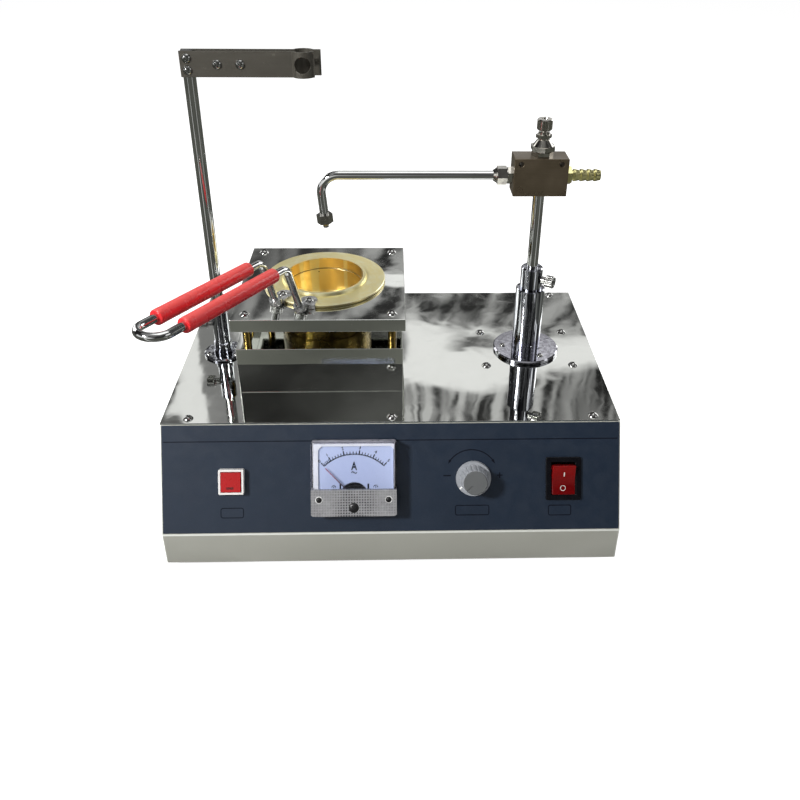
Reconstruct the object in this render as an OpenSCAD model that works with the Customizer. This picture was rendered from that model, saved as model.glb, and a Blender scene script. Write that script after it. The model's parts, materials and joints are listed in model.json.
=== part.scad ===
// Open-cup flash point tester: a sheet-metal console with a small electric
// furnace, a brass cup with a clamp-on handle, a motor-swept test flame and a
// thermometer holder. Millimetres. X to the right, Y away from the user, Z up.
// The origin is on the table, under the middle of the whole instrument, so the
// housing's middle stands a little behind it.

/* [Housing] */
// Width of the housing
housing_w = 350; // [340:5:400]
// Depth of the housing at the table
housing_d = 250; // [250:5:300]
// How far the housing's middle stands behind the origin
housing_y = 13.5; // [13:0.5:14]
// Height of the housing without its feet
housing_h = 105; // [100:1:120]
// Height of the upright skirt under the sloped panel
skirt_h = 29; // [26:1:34]
// Depth that the sloped panel takes up
panel_run = 39; // [36:1:44]
// Thickness of the sheet metal
sheet = 1.5; // [1.2:0.1:2]
// Width of the ledges folded inwards at the top and the bottom
ledge = 12; // [10:1:14]
// Thickness of the coloured front panel
panel_film = 0.8; // [0.5:0.1:1]
// Height of the rubber feet
foot_h = 8; // [6:1:12]
// Diameter of the rubber feet
foot_d = 24; // [20:1:30]
// Head diameter of the housing screws
screw_head_d = 8; // [7:0.5:9]
// Shank diameter of the housing screws
screw_d = 4; // [3:0.5:4]

/* [Furnace] */
// Place of the furnace across the housing
furnace_x = -56; // [-60:1:-50]
// Place of the furnace from front to back
furnace_y = 32.5; // [30:0.5:35]
// Width of the furnace box
box_w = 130; // [126:1:136]
// Depth of the furnace box
box_d = 128; // [126:1:130]
// Height of the furnace box
box_h = 40; // [38:1:44]
// Open gap between the box and the lip of its cover
gap_h = 16.5; // [14:0.5:20]
// Height of the cover's folded lip
lip_h = 10.5; // [8:0.5:12]
// How far the cover reaches past the box on each side
cover_over = 2; // [1:0.5:3]
// Distance between the cover's screws across the furnace
standoff_pitch_x = 113; // [108:1:114]
// Distance between the cover's screws from front to back
standoff_pitch_y = 113; // [108:1:114]
// Diameter of the brass standoffs
standoff_d = 6.5; // [6:0.5:7]

/* [Cup] */
// Place of the cup across the housing
cup_x = -55; // [-57:0.5:-53]
// Place of the cup from front to back
cup_y = 34; // [32:0.5:36]
// Bore of the cup
cup_bore_d = 63.5; // [62:0.5:65]
// Depth of the cup below its filling rim
cup_depth = 33.6; // [32:0.2:35]
// Outer diameter of the cup's body
cup_body_d = 68.5; // [68:0.5:69]
// Diameter of the cup's flange
cup_flange_d = 99.5; // [98:0.5:101]
// Thickness of the cup's flange
cup_flange_t = 2.4; // [2.2:0.1:3]
// Height of the filling rim above the flange
cup_rim_h = 2.4; // [2:0.2:3]
// Depth of the fill line below the rim
fill_line_depth = 9.5; // [9:0.5:10]

/* [Cup handle] */
// Direction of the handle, counted from the X axis
handle_turn = -117.5; // [-122:0.5:-112]
// Rod diameter
handle_rod_d = 6; // [5:0.5:6]
// Distance between the two rods
handle_span = 22.3; // [21:0.1:24]
// Distance of the rods' feet from the cup's axis
handle_foot_r = 54.8; // [54.6:0.1:56]
// Distance of the elbows from the cup's axis
handle_elbow_r = 68.8; // [66:0.2:72]
// Height of the elbows above the cup's flange
handle_rise = 40; // [36:1:44]
// Upward slope of the grips
handle_slope = 4.6; // [0:0.1:10]
// Bend radius at the elbows
elbow_r = 9; // [8:0.5:12]
// Length of the grip sleeves
sleeve_len = 97; // [80:0.5:100]
// Diameter of the grip sleeves
sleeve_d = 11; // [10:0.5:12]

/* [Test flame] */
// Place of the flame column across the housing
column_x = 116.7; // [114:0.1:119]
// Place of the flame column from front to back
column_y = 33; // [31:0.5:35]
// Diameter of the column's flange
column_flange_d = 56; // [52:1:60]
// Outer diameter of the column
column_d = 24; // [21:0.5:24]
// Height of the column above the top plate
column_h = 60.5; // [58:0.5:63]
// Diameter of the spindle that turns in the column
spindle_d = 18; // [16:0.5:18]
// Height of the spindle above the column
spindle_rise = 19; // [18:0.5:22]
// Diameter of the sliding rod
rod_d = 9; // [7:0.5:9.5]
// Height of the gas block's middle above the table
gas_z = 272.2; // [270:0.2:276]
// Width of the gas block
gas_block_w = 41.9; // [41:0.1:43]
// Depth of the gas block
gas_block_d = 20; // [18:1:22]
// Height of the gas block
gas_block_h = 30; // [28:0.1:31]
// Diameter of the flame tube
flame_tube_d = 7; // [6:0.5:7]
// Reach of the flame tube's straight run to the left of the column
flame_run = 157; // [154:0.5:160]
// Bend radius of the flame tube
flame_bend_r = 14; // [12:1:16]
// Angle of the flame tube's bend
flame_bend = 95; // [90:1:97]
// Straight drop after the bend
flame_drop = 20; // [16:1:24]

/* [Thermometer holder] */
// Place of the post across the housing
post_x = -144.3; // [-146:0.1:-142]
// Place of the post from front to back
post_y = 29.3; // [28:0.1:31]
// Outer diameter of the post's tube
post_tube_d = 13.4; // [13:0.2:15]
// Height of the top of the post's tube
post_tube_top = 158; // [150:1:162]
// Height of the arm's lower edge
arm_z = 347.1; // [340:0.1:352]
// Height of the arm's strips
arm_h = 18.2; // [18:0.1:20]
// Thickness of the arm's strips
arm_t = 2; // [1.5:0.1:2.2]
// Gap between the arm's strips
arm_gap = 5; // [4:0.5:6]
// Distance from the post to the thermometer's axis
arm_reach = 82.1; // [80:0.1:84]
// Bore for the thermometer
thermometer_d = 13; // [10:1:14]

/* [Controls] */
// Width of the ammeter
meter_w = 64; // [62:0.5:66]
// Height of the ammeter
meter_h = 56; // [54:0.5:58]
// How far the ammeter stands out
meter_proud = 12; // [10:0.5:13]
// Place of the ammeter across the panel
meter_x = -28.7; // [-32:0.1:-25]
// Place of the ammeter down the panel
meter_s = 40.9; // [38:0.1:43]
// Place of the scan button across the panel
button_x = -121.2; // [-126:0.1:-116]
// Size of the scan button's frame
button_frame = 19; // [18:0.5:20]
// Travel of the scan button
button_travel = 2.5; // [2:0.1:3]
// Place of the heat knob across the panel
knob_x = 62; // [58:0.1:66]
// Diameter of the heat knob's skirt
knob_d = 27; // [24:0.5:28]
// Height of the heat knob
knob_h = 16; // [14:0.5:18]
// Place of the power switch across the panel
switch_x = 130.7; // [126:0.1:134]
// Width of the power switch's frame
switch_w = 27; // [26:0.5:28]
// Height of the power switch's frame
switch_h = 33; // [32:0.5:34]
// Tilt of the rocker to each side
rocker_tilt = 10; // [8:1:11]

/* [Hidden] */
$fn = 64;
eps = 0.01;

// Levels of the housing
plate_top = foot_h + housing_h;
plate_under = plate_top - sheet;
front_y = housing_y - housing_d / 2;
back_y = housing_y + housing_d / 2;
plate_front_y = front_y + panel_run;
plate_d = back_y - plate_front_y;
panel_rise = housing_h - skirt_h;
panel_lean = atan(panel_run / panel_rise);
panel_len = sqrt(panel_run * panel_run + panel_rise * panel_rise);
ledge_gap = 0.25;

// Screws on the top plate
plate_screw_xy = [for (x = [-155, 0, 155], y = [plate_front_y + 6, back_y - 6]) [x, y]];
bracket_pitch_x = 73.5;
bracket_pitch_y = 55;
bracket_y = column_y;
bracket_xy = [for (x = [-1, 1], y = [-1, 1])
    [column_x + x * bracket_pitch_x / 2, bracket_y + y * bracket_pitch_y / 2]];
clearance_d = screw_d + 0.4;
head_h = 2.6;

// Feet, bottom plate and rear wall
foot_xy = [for (x = [-1, 1], y = [-1, 1])
    [x * (housing_w / 2 - 27), housing_y + y * (housing_d / 2 - 27)]];
bottom_screw_xy = [for (x = [-1, 0, 1], y = [-1, 1])
    [x * (housing_w / 2 - 8), housing_y + y * (housing_d / 2 - 7)]];
inlet_x = 118;
inlet_z = 38;
fuse_x = 74;
board_y = housing_y + 17;
vent_count = 12;
vent_pitch = 10;

// Levels of the furnace
box_top = plate_top + box_h;
cover_lip_z = box_top + gap_h;
cover_top = cover_lip_z + lip_h;
cover_under = cover_top - sheet;
standoff_xy = [for (x = [-1, 1], y = [-1, 1])
    [furnace_x + x * standoff_pitch_x / 2, furnace_y + y * standoff_pitch_y / 2]];
well_floor_t = 3;
well_bore_d = cup_body_d + 1.5;
well_d = 73;
well_ring_d = 75;
well_ring_t = 15.7;
former_pocket_d = 72.6;

// Levels of the cup
cup_bottom = box_top - 3.8;
cup_floor = cup_bottom + 2.4;
cup_rim = cup_floor + cup_depth;
flange_top = cup_rim - cup_rim_h;
flange_under = flange_top - cup_flange_t;
clamp_t = 1.5;
clamp_inner_r = 43;
clamp_tab_r = 43.6;
clamp_tab_d = 13.2;
clamp_outer_r = cup_flange_d / 2 + 0.15 + clamp_t;
clamp_half_angle = 8;
clamp_offset = 15;
clamp_screw_r = 45;

// Handle rods, in a frame with X along the handle
handle_foot_x = sqrt(pow(handle_foot_r, 2) - pow(handle_span / 2, 2));
handle_foot_z = cover_top + 1.5;
handle_elbow_z = flange_top + handle_rise;
leg_rise = handle_elbow_z - handle_foot_z;
leg_run = handle_elbow_r - handle_foot_x;
leg_tilt = atan(leg_run / leg_rise);
elbow_turn = 90 - leg_tilt - handle_slope;
elbow_cut = elbow_r * tan(elbow_turn / 2);
leg_len = sqrt(leg_rise * leg_rise + leg_run * leg_run) - elbow_cut;
sleeve_start = 15.4;
arm_len = sleeve_start + sleeve_len + 12.2;
bend_lap = 0.05;
bend_thinning = 0.08;

// Test flame
column_flange_t = 3.3;
column_top = plate_top + column_h;
spindle_top = column_top + spindle_rise;
run_fit = 0.04;
rod_bottom = 150;
spindle_bore_z = 110;
stub_d = 10;
stub_z = 92;
coupling_z = 84;
shaft_d = 6;
bracket_z = 78;
thumb_z = column_top + 8.5;
thumb_turn = -29;
block_x0 = column_x - 22.2;
block_x1 = block_x0 + gas_block_w;
block_z0 = gas_z - gas_block_h / 2;
block_z1 = gas_z + gas_block_h / 2;
tube_z = gas_z - 1;
tube_bore = flame_tube_d - 2;
tube_x0 = column_x - flame_run;
barb_len = 23;
valve_neck_z = block_z1 + 15.5;
knob_z0 = block_z1 + 20;

// Thermometer holder
post_flange_d = 33.2;
post_flange_t = 2.4;
post_hub_h = 3.6;
post_hub_d = 16.8;
post_tube_z0 = 86;
post_rod_z0 = 125;
post_thumb_z = 143;
arm_end = 8.2;
rear_extra = 4.3;
arm_end_left = -5;
window_d = 11.5;
leaf_screw_inset = 5;
leaf_screw_x = [21.2, 37.6];

// Meter, measured on the panel from the meter's own middle
case_d = 50;
meter_base_t = 2;
meter_wall = 1.8;
band_h = 20;
needle_r = 31;
needle_rest = 44;
pivot_drop = 15;
dial_n = panel_film + meter_base_t + 1.6;
dial_t = 0.6;
needle_n = dial_n + 2.6;
meter_top_n = panel_film + meter_proud;

// Button, knob and switch
button_s = 43.9;
knob_s = 43.8;
switch_s = 44.4;
button_frame_t = 5;
pocket_floor = 0.8;
cap_w = 15;
cap_proud = 0.9;
frame_t = 2;
pot_shaft_d = 6;
rocker_w = 17.7;
rocker_half = 11.8;
rocker_flat = 2.5;
rocker_peak = rocker_flat + rocker_half * tan(rocker_tilt);
pocket_w = rocker_w + 0.8;
pocket_h = 2 * rocker_half + 1.6;
switch_body_w = 21.5;
switch_body_h = 28.5;

// A pan-head screw with a cross recess, its head on z = 0 and its shank below
module pan_screw(head_d, shank_d, shank_len, head_t = head_h) {
    cap_r = (pow(head_d / 2, 2) + head_t * head_t) / (2 * head_t);
    difference() {
        union() {
            intersection() {
                translate([0, 0, head_t - cap_r]) sphere(cap_r);
                cylinder(d = head_d, h = head_t);
            }
            translate([0, 0, -shank_len]) cylinder(d = shank_d, h = shank_len + 0.2);
        }
        for (a = [45, 135])
            translate([0, 0, head_t]) rotate([0, 0, a])
                cube([head_d * 0.55, head_d * 0.13, head_t * 0.9], center = true);
    }
}

// Copies of the children at each point of a list, at the height z
module at_each(points, z = 0) {
    for (p = points)
        translate([p[0], p[1], z]) children();
}

// Upright holes at each point of a list
module holes(points, d, z, h) {
    at_each(points, z - eps) cylinder(d = d, h = h + 2 * eps);
}

// Puts the children on the sloped panel: x across, s down the slope, n outwards
module on_panel(x, s, n = 0) {
    translate([0, plate_front_y, plate_top]) rotate([90 - panel_lean, 0, 0])
        translate([x, -s, n]) children();
}

// A box on the panel, centred on its place, from n0 to n1
module panel_block(w, h, n0, n1, corner = 0) {
    translate([0, 0, n0]) linear_extrude(n1 - n0) rounded(w, h, corner);
}

// A rectangle with round corners
module rounded(w, h, r) {
    if (r > 0) {
        square([w - 2 * r, h], center = true);
        square([w, h - 2 * r], center = true);
        for (x = [-1, 1], y = [-1, 1])
            translate([x * (w / 2 - r), y * (h / 2 - r)]) circle(r);
    } else
        square([w, h], center = true);
}

// Turns the children so that their Z axis points along the X axis
module along_x(x, y, z) {
    translate([x, y, z]) rotate([0, 90, 0]) children();
}

// Cut-outs in the sloped sheet for what is mounted on it
module panel_cutouts() {
    on_panel(meter_x, meter_s) cylinder(d = case_d + 0.6, h = 20, center = true);
    on_panel(button_x, button_s) cylinder(d = 16.2, h = 20, center = true);
    on_panel(knob_x, knob_s) cylinder(d = 9.2, h = 20, center = true);
    on_panel(switch_x, switch_s) panel_block(switch_body_w + 0.4, switch_body_h + 0.4, -10, 10);
}

// The housing's side view, inset on every side by t
module side_profile(t, z0, z1) {
    slope_shift = t / cos(panel_lean);
    polygon([
        [front_y + t, z0],
        [front_y + t, foot_h + skirt_h + (t - slope_shift) / tan(panel_lean)],
        [plate_front_y + slope_shift - (plate_top - z1) * tan(panel_lean), z1],
        [back_y - t, z1],
        [back_y - t, z0],
    ]);
}

// A side view in Y and Z drawn out along X to the width w
module along_width(w) {
    translate([-w / 2, 0, 0]) rotate([90, 0, 90]) linear_extrude(w) children();
}

module housing_shell() color([0.66, 0.66, 0.61]) difference() {
    along_width(housing_w) side_profile(0, foot_h, plate_under);
    along_width(housing_w - 2 * sheet)
        side_profile(sheet, foot_h + 2 * sheet, plate_under - sheet);
    // Openings inside the folded ledges at the top and the bottom
    translate([-housing_w / 2 + ledge, plate_front_y + ledge, plate_under - 2 * sheet])
        cube([housing_w - 2 * ledge, plate_d - 2 * ledge, 3 * sheet]);
    translate([-housing_w / 2 + ledge, front_y + ledge, foot_h - sheet])
        cube([housing_w - 2 * ledge, housing_d - 2 * ledge, 5 * sheet]);
    // Recess for the bottom plate
    translate([-housing_w / 2 + sheet, front_y + sheet, foot_h - sheet])
        cube([housing_w - 2 * sheet, housing_d - 2 * sheet, 2 * sheet]);
    panel_cutouts();
    holes(plate_screw_xy, screw_d, plate_under - sheet, sheet);
    holes(bottom_screw_xy, 3, foot_h + sheet, sheet);
    // Rear wall: inlet, fuse and vents
    translate([inlet_x - 14, back_y - 3, inlet_z - 10.2]) cube([28, 6, 20.4]);
    for (x = [-20, 20])
        translate([inlet_x + x, back_y, inlet_z]) rotate([90, 0, 0]) cylinder(d = 3, h = 10, center = true);
    translate([fuse_x, back_y, inlet_z]) rotate([90, 0, 0]) cylinder(d = 12.4, h = 10, center = true);
    for (i = [0 : vent_count - 1])
        translate([furnace_x + (i - (vent_count - 1) / 2) * vent_pitch - 1.5, back_y - 3, 40])
            cube([3, 6, 45]);
}

module bottom_plate() color([0.62, 0.63, 0.64]) difference() {
    inset = sheet + ledge_gap;
    translate([-housing_w / 2 + inset, front_y + inset, foot_h])
        cube([housing_w - 2 * inset, housing_d - 2 * inset, sheet]);
    holes(bottom_screw_xy, 3.4, foot_h, sheet);
    holes(foot_xy, screw_d, foot_h, sheet);
    for (i = [0 : vent_count - 1])
        translate([furnace_x + (i - (vent_count - 1) / 2) * vent_pitch - 1.5, housing_y - 30, foot_h - 1])
            cube([3, 70, 4]);
}

module bottom_screws() color([0.75, 0.75, 0.76])
    at_each(bottom_screw_xy, foot_h) mirror([0, 0, 1]) pan_screw(6, 3, 2 * sheet, 2);

module rubber_feet() color([0.08, 0.08, 0.08]) at_each(foot_xy) difference() {
    rotate_extrude() polygon([
        [2.2, 4], [5.5, 4], [5.5, 0], [foot_d / 2 - 3, 0], [foot_d / 2 - 2, 1],
        [foot_d / 2, foot_h], [2.2, foot_h],
    ]);
}

module foot_screws() color([0.75, 0.75, 0.76])
    at_each(foot_xy, 4) mirror([0, 0, 1]) pan_screw(screw_head_d, screw_d, foot_h + sheet - 4, 2.4);

module front_panel() color([0.17, 0.22, 0.29]) difference() {
    on_panel(0, panel_len / 2) panel_block(housing_w - 2.4, panel_len - 3, 0, panel_film, 0.5);
    panel_cutouts();
}

module top_plate() color([0.78, 0.79, 0.8]) difference() {
    translate([-housing_w / 2, plate_front_y, plate_under]) cube([housing_w, plate_d, sheet]);
    holes(plate_screw_xy, clearance_d, plate_under, sheet);
    holes(bracket_xy, clearance_d, plate_under, sheet);
    translate([column_x, column_y, 0]) cylinder(d = spindle_d + 3, h = 2 * plate_top);
    translate([post_x, post_y, 0]) cylinder(d = post_tube_d + 0.6, h = 2 * plate_top);
    translate([cup_x, cup_y, 0]) cylinder(d = 40, h = 2 * plate_top);
    holes(column_screw_xy, 3, plate_under, sheet);
    holes(post_screw_xy, 2.5, plate_under, sheet);
}

module top_plate_screws() color([0.8, 0.8, 0.8]) {
    at_each(plate_screw_xy, plate_top) pan_screw(screw_head_d, screw_d, 2 * sheet);
    at_each(bracket_xy, plate_top) pan_screw(screw_head_d, screw_d, sheet + 6);
}

module furnace_box() color([0.76, 0.77, 0.76]) difference() {
    translate([furnace_x - box_w / 2, furnace_y - box_d / 2, plate_top]) cube([box_w, box_d, box_h]);
    translate([furnace_x - box_w / 2 + sheet, furnace_y - box_d / 2 + sheet, plate_top - sheet])
        cube([box_w - 2 * sheet, box_d - 2 * sheet, box_h]);
    translate([cup_x, cup_y, box_top - 5]) cylinder(d = well_d + 2, h = 10);
    holes(standoff_xy, screw_d, box_top - sheet, sheet);
}

module furnace_cover() color([0.76, 0.77, 0.76]) difference() {
    w = box_w + 2 * cover_over;
    d = box_d + 2 * cover_over;
    translate([furnace_x - w / 2, furnace_y - d / 2, cover_lip_z]) cube([w, d, lip_h]);
    translate([furnace_x - w / 2 + sheet, furnace_y - d / 2 + sheet, cover_lip_z - sheet])
        cube([w - 2 * sheet, d - 2 * sheet, lip_h]);
    translate([cup_x, cup_y, cover_under - 5]) cylinder(d = well_bore_d + 1, h = 10);
    holes(standoff_xy, clearance_d, cover_under, sheet);
}

module cover_standoffs() color([0.78, 0.66, 0.36]) at_each(standoff_xy) difference() {
    union() {
        translate([0, 0, box_top]) cylinder(d = standoff_d, h = cover_under - box_top);
        translate([0, 0, box_top - 6]) cylinder(d = screw_d, h = 7);
    }
    translate([0, 0, cover_under - 9]) cylinder(d = screw_d, h = 10);
}

module cover_screws() color([0.8, 0.8, 0.8])
    at_each(standoff_xy, cover_top) pan_screw(screw_head_d, screw_d, sheet + 7);

module heating_plate() color([0.74, 0.6, 0.3])
    translate([cup_x, cup_y, 0]) rotate_extrude() polygon([
        [0, cup_bottom - well_floor_t], [well_d / 2, cup_bottom - well_floor_t],
        [well_d / 2, cover_under - well_ring_t], [well_ring_d / 2 - 0.4, cover_under - well_ring_t],
        [well_ring_d / 2, cover_under - well_ring_t + 0.4], [well_ring_d / 2, cover_under],
        [well_bore_d / 2, cover_under], [well_bore_d / 2, cup_bottom], [0, cup_bottom],
    ]);

coil_r = [14, 24, 34];
coil_w = 4;
coil_t = 2.4;
coil_leg_d = 3;
former_top = cup_bottom - well_floor_t;

module heater_former() color([0.88, 0.86, 0.8]) translate([cup_x, cup_y, 0]) difference() {
    translate([0, 0, plate_top]) cylinder(d = 104, h = former_top - plate_top);
    translate([0, 0, former_top - 6]) cylinder(d = former_pocket_d, h = 7);
    translate([0, 0, plate_top - 1]) cylinder(d = 30, h = 14);
    for (r = coil_r)
        translate([0, 0, former_top - 6]) coil_ring(r);
    for (x = [coil_r[0], -coil_r[2]])
        translate([x, 0, plate_top + 10]) cylinder(d = coil_leg_d + 0.4, h = former_top);
}

// One flat ring of the heating element, half sunk in the former
module coil_ring(r) {
    rotate_extrude() translate([r - coil_w / 2, -coil_t / 2]) square([coil_w, coil_t]);
}

module heater_coil() color([0.35, 0.33, 0.32]) translate([cup_x, cup_y, former_top - 6]) {
    for (r = coil_r)
        coil_ring(r);
    for (i = [0, 1])
        rotate([0, 0, 180 * i]) translate([-1.4, coil_r[i] + 1, 0])
            cube([2.8, coil_r[i + 1] - coil_r[i] - 2, coil_t / 2]);
    for (x = [coil_r[0], -coil_r[2]])
        translate([x, 0, -14]) cylinder(d = coil_leg_d, h = 14);
}

module cup() color([0.85, 0.7, 0.35]) translate([cup_x, cup_y, 0]) difference() {
    rotate_extrude() polygon([
        [0, cup_bottom], [cup_body_d / 2 - 2, cup_bottom], [cup_body_d / 2, cup_bottom + 2],
        [cup_body_d / 2, flange_under], [cup_flange_d / 2 - 0.4, flange_under],
        [cup_flange_d / 2, flange_under + 0.4], [cup_flange_d / 2, flange_top - 0.4],
        [cup_flange_d / 2 - 0.4, flange_top], [cup_bore_d / 2 + 3.2, flange_top],
        [cup_bore_d / 2 + 2.2, cup_rim], [cup_bore_d / 2, cup_rim],
        [cup_bore_d / 2, cup_rim - fill_line_depth + 0.3], [cup_bore_d / 2 + 0.4, cup_rim - fill_line_depth],
        [cup_bore_d / 2, cup_rim - fill_line_depth - 0.3],
        [cup_bore_d / 2, cup_floor + 3], [cup_bore_d / 2 - 0.9, cup_floor + 0.9],
        [cup_bore_d / 2 - 3, cup_floor], [0, cup_floor],
    ]);
    for (a = clamp_screw_turns)
        rotate([0, 0, a]) translate([clamp_screw_r, 0, flange_under - 1]) cylinder(d = 3, h = 10);
}

// Puts the children in the handle's own frame, with X along the handle
module on_handle() {
    translate([cup_x, cup_y, 0]) rotate([0, 0, handle_turn]) children();
}

clamp_screw_turns = [handle_turn - clamp_offset - 1, handle_turn + clamp_offset + 1];

// One rod foot's axis, with Z along the rod
module on_leg(side) {
    translate([handle_foot_x, side * handle_span / 2, handle_foot_z]) rotate([0, leg_tilt, 0]) children();
}

module handle_clamps() color([0.72, 0.72, 0.72]) difference() {
    union() {
        for (side = [-1, 1]) {
            on_handle() rotate([0, 0, side * clamp_offset - clamp_half_angle])
                rotate_extrude(angle = 2 * clamp_half_angle) polygon([
                    [clamp_inner_r, flange_top], [clamp_outer_r - clamp_t, flange_top],
                    [clamp_outer_r - clamp_t, flange_under], [clamp_outer_r, flange_under],
                    [clamp_outer_r, flange_top + clamp_t], [clamp_inner_r, flange_top + clamp_t],
                ]);
            on_handle() rotate([0, 0, side * clamp_offset]) translate([clamp_tab_r, 0, flange_top])
                cylinder(d = clamp_tab_d, h = clamp_t);
            on_handle() on_leg(side) translate([0, 0, 0.6]) cylinder(d = 10, h = 4.4);
        }
    }
    for (a = clamp_screw_turns)
        translate([cup_x, cup_y, flange_under - 5]) rotate([0, 0, a])
            translate([clamp_screw_r, 0, 0]) cylinder(d = 3.4, h = 15);
    for (side = [-1, 1])
        on_handle() on_leg(side) translate([0, 0, -3]) cylinder(d = handle_rod_d, h = 20);
    // The lugs stay clear of the cup's flange
    translate([cup_x, cup_y, flange_under - 2]) cylinder(d = cup_flange_d + 0.3, h = cup_flange_t + 2);
}

module handle_screws() color([0.8, 0.8, 0.8])
    for (a = clamp_screw_turns)
        translate([cup_x, cup_y, flange_top + clamp_t]) rotate([0, 0, a])
            translate([clamp_screw_r, 0, 0]) pan_screw(7, 3, cup_flange_t + clamp_t - 0.3, 2.2);

module handle_rod() color([0.75, 0.76, 0.77]) on_handle() {
    for (side = [-1, 1]) {
        on_leg(side) {
            cylinder(d = handle_rod_d, h = leg_len + bend_lap);
            translate([elbow_r, 0, leg_len]) rotate([90, 0, 0]) rotate([0, 0, 180 - elbow_turn])
                rod_bend(elbow_r, elbow_turn);
        }
        on_arm(side) translate([0, 0, elbow_cut - bend_lap])
            cylinder(d = handle_rod_d, h = arm_len - elbow_cut + 2 * bend_lap);
    }
    on_arm(0) translate([0, 0, arm_len]) rotate([0, -90, 0]) rotate([0, 0, -90])
        rod_bend(handle_span / 2, 180);
}

// A bend of the handle's rod, which is a touch thinner where it is bent
module rod_bend(r, angle) {
    rotate_extrude(angle = angle) translate([r, 0]) circle(d = handle_rod_d - bend_thinning);
}

// One arm's axis from its elbow, with Z along the arm
module on_arm(side) {
    translate([handle_elbow_r, side * handle_span / 2, handle_elbow_z]) rotate([0, 90 - handle_slope, 0])
        children();
}

module handle_sleeves() color([0.84, 0.2, 0.2]) on_handle()
    for (side = [-1, 1])
        on_arm(side) translate([0, 0, sleeve_start]) difference() {
            cylinder(d = sleeve_d, h = sleeve_len);
            translate([0, 0, -1]) cylinder(d = handle_rod_d, h = sleeve_len + 2);
        }

column_screw_xy = [for (a = [60, 180, 300]) [column_x + 20 * cos(a), column_y + 20 * sin(a)]];

module flame_column() color([0.74, 0.75, 0.77]) difference() {
    translate([column_x, column_y, 0]) rotate_extrude() polygon([
        [spindle_d / 2 + run_fit, plate_top], [column_flange_d / 2, plate_top],
        [column_flange_d / 2, plate_top + column_flange_t - 1],
        [column_flange_d / 2 - 1, plate_top + column_flange_t],
        [column_d / 2, plate_top + column_flange_t], [column_d / 2, column_top - 0.8],
        [column_d / 2 - 0.8, column_top], [spindle_d / 2 + run_fit, column_top],
    ]);
    holes(column_screw_xy, 3.4, plate_top, column_flange_t);
}

module column_screws() color([0.8, 0.8, 0.8])
    at_each(column_screw_xy, plate_top + column_flange_t) pan_screw(5.5, 3, column_flange_t + sheet, 1.8);

// Puts Z along the thumb screw's axis, from the column's middle outwards
module on_thumb() {
    translate([column_x, column_y, thumb_z]) rotate([0, 0, thumb_turn]) rotate([0, 90, 0]) children();
}

module spindle() color([0.72, 0.73, 0.75]) difference() {
    translate([column_x, column_y, 0]) rotate_extrude() polygon([
        [0, stub_z], [stub_d / 2, stub_z], [stub_d / 2, plate_under - 3], [spindle_d / 2, plate_under - 3],
        [spindle_d / 2, spindle_top - 1], [spindle_d / 2 - 1, spindle_top],
        [rod_d / 2 + run_fit, spindle_top], [rod_d / 2 + run_fit, spindle_bore_z], [0, spindle_bore_z],
    ]);
    on_thumb() cylinder(d = 4.08, h = spindle_d);
}

module shaft_coupling() color([0.7, 0.7, 0.72]) translate([column_x, column_y, 0])
    rotate_extrude() polygon([
        [shaft_d / 2, coupling_z], [8, coupling_z], [8, coupling_z + 18], [stub_d / 2, coupling_z + 18],
        [stub_d / 2, stub_z], [shaft_d / 2, stub_z],
    ]);

module motor_shaft() color([0.6, 0.6, 0.62])
    translate([column_x, column_y, bracket_z - 10]) cylinder(d = shaft_d, h = stub_z - bracket_z + 10);

module scan_motor() color([0.5, 0.5, 0.48]) difference() {
    union() {
        translate([column_x, column_y + 7, bracket_z - 24]) cylinder(d = 37, h = 24);
        translate([column_x, column_y + 7, bracket_z - 52]) cylinder(d = 33, h = 28);
        translate([column_x, column_y, bracket_z - 1]) cylinder(d = 12, h = 5);
    }
    translate([column_x, column_y, bracket_z - 12]) cylinder(d = shaft_d + 2 * run_fit, h = 30);
}

module motor_bracket() color([0.7, 0.71, 0.7]) difference() {
    translate([column_x - bracket_pitch_x / 2 - 8, bracket_y - bracket_pitch_y / 2 - 8, bracket_z])
        cube([bracket_pitch_x + 16, bracket_pitch_y + 16, 2]);
    translate([column_x, column_y, bracket_z - 1]) cylinder(d = 12, h = 4);
    holes(bracket_xy, screw_d, bracket_z, 2);
}

module bracket_spacers() color([0.78, 0.66, 0.36]) at_each(bracket_xy) difference() {
    union() {
        translate([0, 0, bracket_z + 2]) cylinder(d = 8, h = plate_under - bracket_z - 2);
        translate([0, 0, bracket_z - 3]) cylinder(d = screw_d, h = 6);
    }
    translate([0, 0, plate_under - 8]) cylinder(d = screw_d, h = 9);
}

module flame_rod() color([0.74, 0.75, 0.76])
    translate([column_x, column_y, rod_bottom]) cylinder(d = rod_d, h = block_z0 + 8 - rod_bottom);

// A knurled thumb screw with its axis along Z and its shoulder at z = 0
module thumb_screw(shank_len) {
    difference() {
        rotate_extrude() polygon([
            [0, -shank_len], [2, -shank_len], [2, 0], [3.2, 0], [3.2, 3.5], [5, 3.5], [5.2, 4.2],
            [5.2, 9.8], [4.6, 10.5], [2.4, 10.5], [2, 9.8], [0, 9.8],
        ]);
        for (a = [0 : 20 : 340])
            rotate([0, 0, a]) translate([5.5, 0, 3]) rotate([0, 0, 45])
                cube([0.7, 0.7, 16], center = true);
    }
}

module flame_thumbscrew() color([0.78, 0.78, 0.79])
    on_thumb() translate([0, 0, spindle_d / 2 + 0.3]) thumb_screw(spindle_d / 2 - rod_d / 2 + 0.1);

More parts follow.
